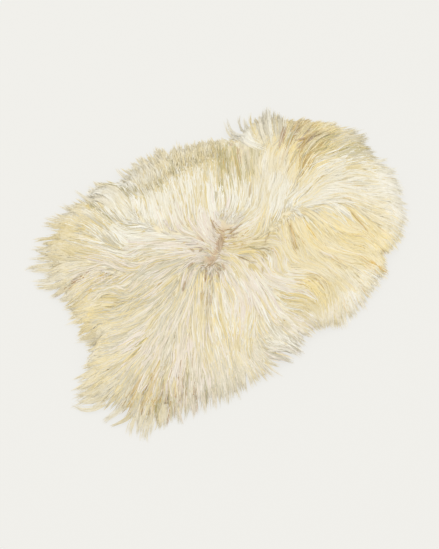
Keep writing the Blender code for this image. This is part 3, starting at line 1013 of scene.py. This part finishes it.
def spread_strands(lines, strands, gather, spread, slide, rng):
    """Split each lock's middle line into strands that draw together towards its tip."""
    count = len(lines)
    total = count * strands
    lines = np.repeat(lines, strands, axis=0)
    share = STRAND_MARKS[None, :]
    angle = rng.uniform(0.0, 2.0 * math.pi, total)
    radius = spread * np.sqrt(rng.uniform(0.0, 1.0, total))
    offset = np.stack((np.cos(angle), np.sin(angle)), -1) * radius[:, None]
    gather = np.repeat(np.broadcast_to(gather, count), strands)[:, None]
    pull = 1.0 - gather * share ** GATHER_POWER
    flat = lines + offset[:, None, :] * pull[..., None]
    run = unit(np.gradient(lines, axis=1))
    sideways = np.stack((-run[..., 1], run[..., 0]), axis=-1)
    sway = rng.normal(0.0, STRAND_SWAY, (total, 1))
    turns = share * rng.uniform(*SWAY_TURNS, (total, 1)) + rng.uniform(0.0, 1.0, (total, 1))
    sway = sway * np.sin(math.pi * turns)
    flat = flat + sideways * (sway * share ** 0.5)[..., None]
    begin = rng.uniform(0.0, slide, total)[:, None]
    end = rng.uniform(*STRAND_ENDS, total)[:, None]
    marks = begin + share * (end - begin)
    low = np.searchsorted(STRAND_MARKS, marks, side="right") - 1
    low = np.clip(low, 0, len(STRAND_MARKS) - 2)
    part = (marks - STRAND_MARKS[low]) / (STRAND_MARKS[low + 1] - STRAND_MARKS[low])
    return points_between(flat, low, part)


def lift_strands(flat, grown, level, rng):
    """Lay strands at their level in the pile: up from the root, arched, dipping at the tip."""
    share = STRAND_MARKS[None, :]
    top = wool_height(flat)
    sunk = np.minimum((LAYER_DEPTH * level)[:, None],
                      np.maximum(top - THIN_WOOL, 0.0) * DEEPEST_SHARE)
    start = matted(top[:, :1]) - ROOT_DEPTH
    rise = 1.0 - (1.0 - np.clip(share * grown[:, None] / ROOT_RISE, 0.0, 1.0)) ** 2
    height = start + (top - sunk - start) * rise
    loose = rng.uniform(0.0, 1.0, (len(flat), 1)) < LOOSE_SHARE
    dip = TIP_DIP * np.clip((share - 0.5) / 0.5, 0.0, 1.0) ** TIP_DIP_POWER
    height = height + STRAND_ARCH * np.sin(math.pi * share) - np.where(loose, 0.0, dip)
    height = np.maximum(height, LOWEST_STRAND)
    return np.concatenate((flat + MIDDLE_SHIFT, height[..., None]), axis=-1)


def tint_strands(middle, low, strands, rng):
    """Give strands tones and light by where their middles lie, some of them as their lock has; those
    low in the pile get painted shade.
    """
    total = len(middle)
    lock_tone, lock_strength = pick_tones(tone_weights(middle[::strands]), rng)
    tone, strength = pick_tones(tone_weights(middle), rng)
    painted_shade_weights = (low_shade_weights(middle) + TOP_IN_LOW * tone_weights(middle)) / (1.0 + TOP_IN_LOW)
    low_tone, low_strength = pick_tones(painted_shade_weights, rng)
    alike = rng.uniform(0.0, 1.0, total) < ALIKE_SHARE
    tone = np.where(alike, np.repeat(lock_tone, strands), tone)
    strength = np.where(alike, np.repeat(lock_strength, strands), strength)
    # Strands low in the pile take the warm tones of painted shade.
    tone = np.where(low, low_tone, tone)
    strength = np.where(low, low_strength, strength)
    lock_light = np.repeat(rng.normal(0.0, LOCK_LIGHT, total // strands), strands)
    light = lock_light + rng.normal(MEAN_LIGHT, STRAND_LIGHT, total)
    # Strands low in the pile are also painted darker, as shade.
    return (tone, strength), light + WISP_LIGHT * wisps(middle, 2.0) - LOW_PAINTED_SHADE * low


def split_locks(lines, grown, strands, gather, levels, spread, rng, slide=ROOT_SLIDE):
    """Split locks with known middle lines into strands; return their lines, tones and light."""
    flat = spread_strands(lines, strands, gather, spread, slide, rng)
    own_level = rng.uniform(0.0, 1.0, len(flat))
    level = LOCK_LEVEL * np.repeat(levels, strands) + (1.0 - LOCK_LEVEL) * own_level
    points = lift_strands(flat, np.repeat(grown, strands), level, rng)
    middle = flat[:, len(STRAND_MARKS) // 2]
    tones, light = tint_strands(middle, level > LOW_LEVEL, strands, rng)
    return points, tones, light


def grow_locks(roots, lengths, strands, gather, levels, rng, spread=LOCK_SPREAD, stray=LOCK_STRAY,
               fullness=LOCK_FULLNESS):
    """Comb locks out of their roots and return every strand's line, tone and light."""
    count = len(roots)
    uneven = round_rim(RAGGED, RAGGED_COLUMNS, "share", polar(roots)[0])
    overshoot = rng.normal(fullness, uneven)
    own_stray = rng.normal(0.0, stray, count)
    phase = rng.normal(0.0, SWAY_START, count)
    lines, grown = comb_out(roots, lengths, own_stray, overshoot, phase)
    keep = grown > SHORTEST_LOCK
    gather = np.broadcast_to(gather, count)[keep]
    return split_locks(lines[keep], grown[keep], strands, gather, levels[keep], spread, rng)


def lay_wool(name, points, tones, light, width, seed, finish):
    """Make one piece of wool from its strands and fix it to the pelt."""
    rng = np.random.default_rng(seed)
    twist = rng.normal(0.0, STRAND_TWIST, len(points))
    taper = np.interp(STRAND_MARKS, *STRAND_TAPER)[None, :]
    widths = width * taper * rng.uniform(*UNEVEN_WIDTH, (len(points), 1))
    piece = strand_mesh(name, points, widths, twist, tones, light)
    piece.data.materials.append(finish)
    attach(piece, "root")
    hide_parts("fleece")


# The wool's tips are a little greyer and darker, partly their own colour and partly painted shade
# where they lie low, but on the right half of the pelt it is softer and pale.
long_wool = wool_finish("long_wool", CLEAR, (0.92, 0.91, 0.88))
pale_wool = wool_finish("pale_wool", CLEAR, CLEAR)

# The locks are laid in five swathes, by the bearings between which they are rooted. Each has
# a seed of its own for its strands and one of the two finishes.
SWATHES = (
    ("wool_right_end", -35.0, 30.0, 100, pale_wool),
    ("wool_far_side", 30.0, 115.0, 101, long_wool),
    ("wool_left_end", 115.0, 200.0, 102, long_wool),
    ("wool_near_left", 200.0, 262.0, 103, long_wool),
    ("wool_near_right", 262.0, 325.0, 104, pale_wool),
)

wool_rng = np.random.default_rng(17)
laid_wool = []
lock_roots = np.concatenate((
    skin_spots(LOCK_SPACING, 5, SKIN_MARGIN),
    parting_spots(PARTING, PARTING_SPACING, PARTING_ABREAST, 7),
    parting_spots(FAINT_PARTING, FAINT_SPACING, FAINT_ABREAST, 8)))
lock_lengths = wool_rng.uniform(*LOCK_LENGTHS, len(lock_roots))
lock_levels = wool_rng.uniform(0.0, 1.0, len(lock_roots))
root_bearing = polar(lock_roots)[0]
for name, start, end, seed, finish in SWATHES:
    chosen = ((root_bearing - start) % 360.0) < (end - start)
    points, tones, light = grow_locks(lock_roots[chosen], lock_lengths[chosen], STRANDS_IN_LOCK,
                                      LOCK_GATHER, lock_levels[chosen], wool_rng)
    laid_wool.append(points)
    lay_wool(name, points, tones, light, STRAND_WIDTH, seed, finish)


# === Short wool ===
# Where the long locks are combed away from each other, at the parting and beside it, the
# short wool at the roots shows between them, brown-pink or cream.

SHORT_LENGTHS = (0.019, 0.042)
SHORT_STRANDS = 4
SHORT_WIDTH = 0.0018
SHORT_GATHER = 0.3
SHORT_SPREAD = 0.0050
SHORT_STRAY = 18.0
SHORT_LIFT = 0.0003
THIN_CELL = 0.006
THIN_COUNT = 1
THIN_MARGIN = 0.04


def thin_spots(rng):
    """Return flat spots inside the rim where few of the long strands pass."""
    lines = np.concatenate(laid_wool)[..., :2] - MIDDLE_SHIFT
    passed = np.concatenate([
        lines[:, mark] * (1.0 - part) + lines[:, mark + 1] * part
        for mark in range(1, len(STRAND_MARKS) - 1) for part in (0.0, 0.25, 0.5, 0.75)])
    edges = np.arange(-PELT_HALF, PELT_HALF, THIN_CELL)
    counts = np.histogram2d(passed[:, 0], passed[:, 1], bins=(edges, edges))[0]
    cells = np.stack(np.nonzero(counts < THIN_COUNT), axis=-1)
    spots = edges[cells] + THIN_CELL / 2.0
    bearing, distance = polar(spots)
    spots = spots[distance < skin_reach(bearing) - THIN_MARGIN]
    return spots + rng.uniform(-0.5, 0.5, spots.shape) * THIN_CELL


short_rng = np.random.default_rng(53)
short_roots = thin_spots(short_rng)
short_lengths = short_rng.uniform(*SHORT_LENGTHS, len(short_roots))
points, tones, light = grow_locks(short_roots, short_lengths, SHORT_STRANDS, SHORT_GATHER,
                                  np.zeros(len(short_roots)), short_rng, SHORT_SPREAD, SHORT_STRAY)
points[:, :, 2] += SHORT_LIFT
lay_wool("short_wool", points, tones, light, SHORT_WIDTH, 190, long_wool)


# === Root streaks ===
# Beside the parting some of the brown root wool is drawn out in narrow dark wisps, and
# farther out a few golden ones lie between the locks as painted shade of the gaps there.

STREAK_COLUMNS = ("x", "y", "heading", "length", "strands", "tone")
STREAKS = (
    (0.021, 0.087, -105, 0.060, 4, "umber"), (0.019, 0.020, -134, 0.064, 14, "umber"),
    (0.017, 0.026, -131, 0.061, 8, "umber"), (-0.024, -0.024, -157, 0.046, 10, "umber"),
    (-0.049, -0.047, -94, 0.027, 6, "umber"), (0.022, 0.011, 4, 0.061, 5, "umber"),
    (0.019, 0.005, -13, 0.043, 4, "umber"), (-0.078, 0.032, -86, 0.020, 7, "umber"),
    (-0.138, -0.041, -136, 0.047, 9, "umber"), (-0.076, -0.043, -128, 0.041, 8, "umber"),
    (-0.033, -0.051, -108, 0.031, 8, "umber"), (-0.103, -0.098, -119, 0.059, 5, "umber"),
    (-0.117, -0.088, -130, 0.048, 5, "ochre"), (0.075, -0.086, -115, 0.031, 8, "ochre"),
    (0.047, -0.119, -119, 0.030, 5, "ochre"), (0.046, -0.051, -51, 0.042, 5, "olive"),
    (0.179, -0.051, -110, 0.097, 14, "ochre"), (0.121, -0.048, -145, 0.047, 8, "ochre"),
    (0.172, 0.111, -130, 0.058, 10, "ochre"), (0.082, 0.148, -124, 0.059, 4, "olive"),
    (-0.068, 0.009, 15, 0.024, 4, "umber"), (-0.093, -0.010, -165, 0.031, 5, "umber"),
    (-0.062, -0.053, -133, 0.048, 5, "umber"), (0.340, -0.101, -89, 0.125, 4, "amber"),
    (0.187, -0.047, -113, 0.097, 14, "amber"), (0.345, 0.160, -20, 0.050, 8, "umber"),
    (0.372, 0.134, 12, 0.060, 8, "umber"), (0.400, 0.140, -15, 0.080, 8, "ochre"),
)
STREAK_GATHER = 0.4
STREAK_SPREAD = 0.0030
STREAK_SLIDE = 0.35
STREAK_WIDTH = 0.0017
STREAK_LIFT = 0.0014
STREAK_TINTS = (0.4, 0.9)


def dyed_strands(table, counts, tints, rng):
    """Give the strands of each row of a table the tone that it ends with, at uneven strength."""
    tone = np.repeat([TONE_NAMES.index(row[-1]) for row in table], counts)
    return tone, rng.uniform(*tints, len(tone))


streak_rng = np.random.default_rng(71)
starts = np.array([row[:2] for row in STREAKS])
lengths = column(STREAKS, STREAK_COLUMNS, "length")
counts = column(STREAKS, STREAK_COLUMNS, "strands")
runs = facing(column(STREAKS, STREAK_COLUMNS, "heading")) * lengths[:, None]
lines = starts[:, None] + runs[:, None] * STRAND_MARKS[None, :, None]
points, tones, light = split_locks(
    np.repeat(lines, counts, axis=0), np.repeat(lengths, counts), 1, STREAK_GATHER,
    np.zeros(counts.sum()), STREAK_SPREAD, streak_rng, STREAK_SLIDE)
points[:, :, 2] += STREAK_LIFT
tones = dyed_strands(STREAKS, counts, STREAK_TINTS, streak_rng)
lay_wool("root_streaks", points, tones, light, STREAK_WIDTH, 195, long_wool)


# === Rim locks ===
# Round the edge the wool hangs over the skin in pointed tufts that come down to the floor.
# They are the same wool, drawn more tightly together towards their tips.

TUFT_SPACING_DEGREES = 1.35
TUFT_LENGTH = 0.150
TUFT_SPREAD = 0.0090
TUFT_STRAY = 5.0
TUFT_STRAND_WIDTH = 0.0020
# How far a tuft's root is off its place in the row, in degrees along it and metres across it.
TUFT_SHIFT_DEGREES = 0.5
TUFT_SHIFT = 0.004
# How far each tuft's strands draw together at its tip, and how much light is painted on them
# where the rim droops into shade, with painted shade where the value is negative: loose and
# pale at the right, tight at the left.
GATHER_COLUMNS = ("bearing", "share", "painted_light")
GATHER = ((0, 0.35, 0.00), (12, 0.38, -0.05), (35, 0.42, -0.04),
          (60, 0.50, 0.00), (130, 0.70, 0.00), (180, 0.80, 0.01),
          (250, 0.75, 0.05), (270, 0.58, 0.09), (290, 0.40, 0.12), (330, 0.35, 0.13),
          (350, 0.35, 0.10))
# Two rows: how far each is rooted inside the skin's edge, how deep in the wool, with how many
# strands to a tuft, how low they hang as a share of the wool's height, and the row's seed.
RIM_ROWS = (
    ("rim_locks_lower", 0.012, 0.7, 12, 0.88, 212),
    ("rim_locks_upper", 0.026, 0.2, 14, 1.0, 214),
)

# At the rim the fibres thin out to pale, almost clear ends.
rim_wool = wool_finish("rim_wool", (0.98, 0.97, 0.94), CLEAR)

tuft_rng = np.random.default_rng(29)
tuft_bearings = np.arange(0.0, 360.0, TUFT_SPACING_DEGREES)
tuft_count = len(tuft_bearings)
tuft_bearings += tuft_rng.uniform(-TUFT_SHIFT_DEGREES, TUFT_SHIFT_DEGREES, tuft_count)
gather = round_rim(GATHER, GATHER_COLUMNS, "share", tuft_bearings)
for name, inset, depth, strands, least_lift, seed in RIM_ROWS:
    reach = skin_reach(tuft_bearings) - inset
    reach = reach + tuft_rng.uniform(-TUFT_SHIFT, TUFT_SHIFT, tuft_count)
    points, tones, light = grow_locks(
        facing(tuft_bearings) * reach[:, None], np.full(tuft_count, TUFT_LENGTH), strands, gather,
        np.full(tuft_count, depth), tuft_rng, TUFT_SPREAD, TUFT_STRAY)
    hang = tuft_rng.uniform(least_lift, 1.0, (len(points), 1))
    points[:, :, 2] = UNDERWOOL_FOOT + (points[:, :, 2] - UNDERWOOL_FOOT) * hang
    # Painted light on the tufts round the right end and near side, and painted shade at the far corner
    # of the right end.
    light = light + round_rim(GATHER, GATHER_COLUMNS, "painted_light", polar(points[:, -1, :2])[0])
    lay_wool(name, points, tones, light, TUFT_STRAND_WIDTH, seed, rim_wool)


# === Pointed tufts ===
# At the left end and along the near side some of the rim wool hangs in long separate tufts,
# and at the right end in thin wisps. Each draws together to a few points on the floor.

POINTED_PARTS = 3
POINTED_DRIFT = 0.006
POINTED_STRANDS = 8
POINTED_GATHER = 0.72
POINTED_SPREAD = 0.0080
POINTED_DEPTH = 0.1
POINTED_WIDTH = 0.0014

# Each tuft's root, middle and tip on the floor plan, in metres.
BENT_COLUMNS = ("root_x", "root_y", "middle_x", "middle_y", "tip_x", "tip_y")
POINTED_TUFTS = (
    (-0.241, 0.259, -0.267, 0.320, -0.286, 0.366),
    (-0.272, 0.265, -0.300, 0.316, -0.320, 0.350),
    (-0.301, 0.262, -0.332, 0.315, -0.358, 0.345),
    (-0.297, 0.244, -0.325, 0.295, -0.351, 0.329),
    (-0.325, 0.248, -0.363, 0.283, -0.401, 0.306),
    (-0.336, 0.230, -0.366, 0.266, -0.397, 0.292),
    (-0.343, 0.216, -0.387, 0.262, -0.421, 0.298),
    (-0.369, 0.204, -0.393, 0.240, -0.411, 0.272),
    (-0.367, 0.196, -0.407, 0.238, -0.439, 0.261),
    (-0.382, 0.192, -0.428, 0.234, -0.466, 0.250),
    (-0.394, 0.182, -0.428, 0.212, -0.458, 0.238),
    (-0.394, 0.160, -0.437, 0.179, -0.472, 0.207),
    (-0.400, 0.139, -0.439, 0.166, -0.469, 0.191),
    (-0.395, 0.128, -0.422, 0.148, -0.447, 0.162),
    (-0.382, 0.109, -0.420, 0.125, -0.454, 0.138),
    (-0.375, 0.080, -0.416, 0.097, -0.442, 0.116),
    (-0.368, 0.047, -0.410, 0.065, -0.440, 0.090),
    (-0.369, 0.020, -0.410, 0.045, -0.441, 0.062),
    (-0.381, 0.000, -0.418, 0.022, -0.447, 0.036),
    (-0.393, -0.039, -0.425, -0.021, -0.454, -0.011),
    (-0.441, -0.120, -0.482, -0.106, -0.515, -0.096),
    (-0.453, -0.144, -0.495, -0.129, -0.526, -0.115),
    (-0.463, -0.166, -0.509, -0.152, -0.544, -0.135),
    (-0.478, -0.201, -0.531, -0.189, -0.558, -0.154),
    (-0.476, -0.187, -0.516, -0.173, -0.546, -0.153),
    (-0.438, -0.238, -0.487, -0.240, -0.519, -0.244),
    (-0.441, -0.261, -0.475, -0.264, -0.508, -0.258),
    (-0.417, -0.251, -0.448, -0.260, -0.472, -0.266),
    (-0.432, -0.266, -0.457, -0.285, -0.480, -0.311),
    (-0.420, -0.275, -0.443, -0.295, -0.462, -0.310),
    (-0.411, -0.287, -0.440, -0.313, -0.460, -0.340),
    (-0.398, -0.290, -0.419, -0.308, -0.443, -0.330),
    (-0.377, -0.290, -0.393, -0.314, -0.410, -0.331),
    (-0.371, -0.282, -0.381, -0.305, -0.395, -0.327),
    (-0.365, -0.293, -0.382, -0.314, -0.403, -0.335),
    (-0.350, -0.297, -0.367, -0.318, -0.381, -0.343),
    (-0.338, -0.305, -0.351, -0.329, -0.363, -0.356),
    (-0.304, -0.302, -0.314, -0.326, -0.326, -0.349),
    (-0.287, -0.308, -0.299, -0.335, -0.312, -0.359),
    (-0.267, -0.314, -0.280, -0.338, -0.294, -0.358),
    (-0.243, -0.318, -0.256, -0.342, -0.273, -0.363),
    (0.440, -0.150, 0.466, -0.170, 0.487, -0.186),
    (0.455, -0.128, 0.490, -0.148, 0.516, -0.162),
    (0.465, -0.098, 0.500, -0.115, 0.524, -0.126),
    (0.478, -0.072, 0.512, -0.086, 0.540, -0.098),
    (0.488, -0.045, 0.520, -0.055, 0.548, -0.062),
    (0.495, -0.010, 0.528, -0.016, 0.556, -0.020),
)


def bent_lines(table):
    """Bend one middle line for each row of root, middle and tip; return it and its length."""
    ends = np.array([row[:len(BENT_COLUMNS)] for row in table])
    root, middle, tip = ends[:, None, 0:2], ends[:, None, 2:4], ends[:, None, 4:6]
    bend = 2.0 * middle - (root + tip) / 2.0
    share = STRAND_MARKS[None, :, None]
    lines = root * (1.0 - share) ** 2 + bend * 2.0 * share * (1.0 - share) + tip * share ** 2
    return lines, np.hypot(*np.diff(lines, axis=1).T).sum(axis=0)


pointed_rng = np.random.default_rng(37)
lines, lengths = bent_lines(POINTED_TUFTS)
lines = np.repeat(lines, POINTED_PARTS, axis=0)
drift = pointed_rng.normal(0.0, POINTED_DRIFT, (len(lines), 1, 2))
lines = lines + drift * STRAND_MARKS[None, :, None]
points, tones, light = split_locks(
    lines, np.repeat(lengths, POINTED_PARTS), POINTED_STRANDS, POINTED_GATHER,
    np.full(len(lines), POINTED_DEPTH), POINTED_SPREAD, pointed_rng)
lay_wool("pointed_tufts", points, tones, light, POINTED_WIDTH, 230, rim_wool)


# === Far fringe ===
# Beyond the valley on the far side the wool stands up in a short dense fringe, darkened at its
# roots with painted shade and pale at its tips, that leans out over the rim.

FRINGE_SPACING = 0.0040
FRINGE_SCATTER = 0.0020
FRINGE_ROWS = (0.002, 0.012, 0.024)
FRINGE_LENGTHS = (0.050, 0.120)
FRINGE_STRANDS = 6
FRINGE_GATHER = 0.80
FRINGE_DEPTH = 0.3
FRINGE_SPREAD = 0.0060
FRINGE_STRAY = 8.0
FRINGE_FULLNESS = 0.965
FRINGE_STRAND_WIDTH = 0.0020
# How high the strands arch over the wool below, and how unevenly.
FRINGE_LIFT = 0.004
FRINGE_UNEVEN = (0.4, 1.3)
FRINGE_ARCH_POWER = 0.8


def fringe_spots(rng):
    """Return flat spots in rows along the outer side of the valley."""
    spots = np.concatenate([spots + outward * inset
                            for spots, outward in spaced_along(VALLEY, FRINGE_SPACING)
                            for inset in FRINGE_ROWS])
    return spots + rng.normal(0.0, FRINGE_SCATTER, spots.shape)


fringe_rng = np.random.default_rng(43)
fringe_roots = fringe_spots(fringe_rng)
fringe_lengths = fringe_rng.uniform(*FRINGE_LENGTHS, len(fringe_roots))
points, tones, light = grow_locks(
    fringe_roots, fringe_lengths, FRINGE_STRANDS, FRINGE_GATHER,
    np.full(len(fringe_roots), FRINGE_DEPTH), fringe_rng, FRINGE_SPREAD, FRINGE_STRAY,
    FRINGE_FULLNESS)
arch = np.sin(math.pi * STRAND_MARKS ** FRINGE_ARCH_POWER)[None, :]
points[:, :, 2] += arch * (FRINGE_LIFT * fringe_rng.uniform(*FRINGE_UNEVEN, (len(points), 1)))
lay_wool("far_fringe", points, tones, light, FRINGE_STRAND_WIDTH, 250, long_wool)


# === Curled locks ===
# A few loose tufts on the far side stand up off the rim and curl over towards the left end.
# They are greyer, and each is a handful of strands that bend together.

CURL_COLUMNS = BENT_COLUMNS + ("strands", "spread", "tone")
LIFTED_TUFT = (
    (0.267, 0.183, 0.229, 0.262, 0.253, 0.362, 22, 0.010, "cream"),
    (0.262, 0.195, 0.237, 0.280, 0.260, 0.360, 6, 0.004, "ash"),
    (0.273, 0.163, 0.238, 0.240, 0.238, 0.300, 30, 0.010, "pearl"),
    (0.274, 0.183, 0.247, 0.259, 0.242, 0.318, 30, 0.006, "pearl"),
    (0.264, 0.197, 0.264, 0.289, 0.297, 0.346, 9, 0.003, "ash"),
    (0.269, 0.190, 0.277, 0.272, 0.299, 0.334, 9, 0.003, "cream"),
    (0.254, 0.184, 0.261, 0.256, 0.303, 0.318, 26, 0.006, "pearl"),
    (0.267, 0.192, 0.286, 0.270, 0.330, 0.335, 12, 0.003, "straw"),
    (0.272, 0.180, 0.297, 0.256, 0.327, 0.311, 6, 0.003, "ash"),
    (0.273, 0.171, 0.305, 0.253, 0.347, 0.318, 24, 0.004, "cream"),
    (0.291, 0.207, 0.323, 0.268, 0.364, 0.323, 8, 0.003, "ash"),
    (0.278, 0.160, 0.321, 0.250, 0.373, 0.322, 30, 0.005, "ash"),
    (0.285, 0.155, 0.332, 0.247, 0.384, 0.320, 30, 0.005, "pearl"),
    (0.298, 0.154, 0.344, 0.239, 0.391, 0.307, 16, 0.005, "ash"),
    (0.305, 0.150, 0.353, 0.227, 0.394, 0.285, 28, 0.005, "ash"),
    (0.314, 0.143, 0.364, 0.218, 0.402, 0.272, 9, 0.004, "cream"),
    (0.294, 0.149, 0.358, 0.199, 0.414, 0.241, 24, 0.006, "straw"),
    (0.296, 0.150, 0.335, 0.190, 0.372, 0.222, 18, 0.007, "umber"),
    (0.304, 0.140, 0.350, 0.175, 0.396, 0.200, 18, 0.007, "olive"),
    (0.292, 0.126, 0.366, 0.185, 0.429, 0.222, 26, 0.006, "ochre"),
    (0.312, 0.065, 0.355, 0.127, 0.442, 0.154, 26, 0.005, "ochre"),
    (0.295, 0.116, 0.370, 0.162, 0.444, 0.191, 26, 0.006, "honey"),
    (0.325, 0.088, 0.388, 0.125, 0.466, 0.130, 26, 0.006, "straw"),
)
LEFT_CURL = (
    (-0.136, 0.233, -0.127, 0.295, -0.163, 0.360, 6, 0.002, "olive"),
    (-0.146, 0.228, -0.139, 0.303, -0.181, 0.352, 30, 0.006, "cream"),
    (-0.159, 0.233, -0.151, 0.303, -0.195, 0.350, 34, 0.007, "pearl"),
    (-0.174, 0.239, -0.170, 0.309, -0.211, 0.349, 34, 0.007, "pearl"),
    (-0.133, 0.223, -0.120, 0.282, -0.141, 0.349, 5, 0.003, "ash"),
    (-0.193, 0.245, -0.196, 0.303, -0.221, 0.348, 12, 0.006, "ash"),
    (-0.159, 0.222, -0.158, 0.308, -0.197, 0.309, 24, 0.006, "cream"),
    (-0.180, 0.229, -0.191, 0.295, -0.219, 0.315, 24, 0.006, "cream"),
)
CURL_STRAND_WIDTH = 0.0022
CURL_GATHER = 0.48
CURL_SLIDE = 0.40
# The spreads in the tables are those of a tuft drawn together; a loose one is this much wider.
CURL_LOOSENESS = 1.6
CURL_TINTS = (0.3, 1.1)
# How high the tips are raised, how unevenly, and how late along the lock it rises.
CURL_LIFT = 0.004
CURL_UNEVEN = (0.6, 1.3)
CURL_RISE_POWER = 1.3


def curl_locks(name, table, seed):
    """Bend every lock of a loose tuft over the rim and raise its end; lay it as one piece."""
    rng = np.random.default_rng(seed)
    lines, lengths = bent_lines(table)
    counts = column(table, CURL_COLUMNS, "strands")
    spreads = np.repeat(column(table, CURL_COLUMNS, "spread"), counts) * CURL_LOOSENESS
    points, tones, light = split_locks(
        np.repeat(lines, counts, axis=0), np.repeat(lengths, counts), 1, CURL_GATHER,
        np.zeros(len(spreads)), spreads, rng, CURL_SLIDE)
    raised = CURL_LIFT * rng.uniform(*CURL_UNEVEN, (len(points), 1))
    points[:, :, 2] += raised * STRAND_MARKS[None, :] ** CURL_RISE_POWER
    tones = dyed_strands(table, counts, CURL_TINTS, rng)
    lay_wool(name, points, tones, light, CURL_STRAND_WIDTH, seed, long_wool)


curl_locks("lifted_tuft", LIFTED_TUFT, 61)
curl_locks("left_curl", LEFT_CURL, 67)


# === Where the rug is shown ===
# A plain pale floor, soft even studio light and a camera that looks down on the rug from the
# near side.

FLOOR_HALF = 12.0
FLOOR_DROP = 0.0005
FLOOR_PALE = (0.10, 0.099, 0.095)
FLOOR_LIGHT = (0.764, 0.756, 0.722)
# Two round lamps: where each hangs, how wide it is, in metres, and its power in watts.
LAMPS = (
    ("key_light", (-1.6, 3.6, 6.0), 4.5, 118.0),
    ("fill_light", (3.0, -4.5, 5.0), 5.0, 80.0),
)
STUDIO_LIGHT = 0.86
CAMERA_BEARING = -34.0
CAMERA_TILT = 62.0
CAMERA_DISTANCE = 2.83
CAMERA_AIM = (-0.049, -0.055, 0.0)
LENS_MM = 70.0
FILM_MM = 36.0


def floor_finish():
    """Plain matt pale floor."""
    return new_finish("pale_floor", {
        "Base Color": (*FLOOR_PALE, 1.0), "Roughness": 1.0, "Specular IOR Level": 0.0,
        "Emission Color": (*FLOOR_LIGHT, 1.0), "Emission Strength": 1.0})[0]


def hang_lamp(name, place, size, power):
    """Hang a large soft round lamp that faces the rug."""
    lamp = bpy.data.lights.new(name, "AREA")
    lamp.shape = "DISK"
    lamp.size = size
    lamp.energy = power
    obj = bpy.data.objects.new(name, lamp)
    bpy.context.scene.collection.objects.link(obj)
    obj.location = place
    x, y, z = np.array(place) / np.linalg.norm(place)
    obj.rotation_euler = (math.acos(z), 0.0, math.atan2(y, x) + math.pi / 2.0)


floor_mesh = bpy.data.meshes.new("floor")
floor_corners = [(x * FLOOR_HALF, y * FLOOR_HALF, 0.0) for x, y in ((-1, -1), (1, -1), (1, 1), (-1, 1))]
floor_mesh.from_pydata(floor_corners, [], [(0, 1, 2, 3)])
floor = bpy.data.objects.new("floor", floor_mesh)
bpy.context.scene.collection.objects.link(floor)
floor.location.z = -FLOOR_DROP
floor.data.materials.append(floor_finish())

for name, place, size, power in LAMPS:
    hang_lamp(name, place, size, power)

world = bpy.data.worlds.new("studio")
bpy.context.scene.world = world
world.use_nodes = True
set_inputs(world.node_tree.nodes["Background"],
           {"Color": (1.0, 1.0, 1.0, 1.0), "Strength": STUDIO_LIGHT})

turn = math.radians(CAMERA_BEARING)
tilt = math.radians(CAMERA_TILT)
back = np.array((math.sin(turn) * math.cos(tilt), -math.cos(turn) * math.cos(tilt), math.sin(tilt)))
lens = bpy.data.cameras.new("camera")
lens.lens = LENS_MM
lens.sensor_width = FILM_MM
camera = bpy.data.objects.new("camera", lens)
bpy.context.scene.collection.objects.link(camera)
camera.location = tuple(np.array(CAMERA_AIM) + back * CAMERA_DISTANCE)
camera.rotation_euler = (math.pi / 2.0 - tilt, 0.0, turn)
bpy.context.scene.camera = camera
bpy.context.scene.view_settings.view_transform = "Standard"
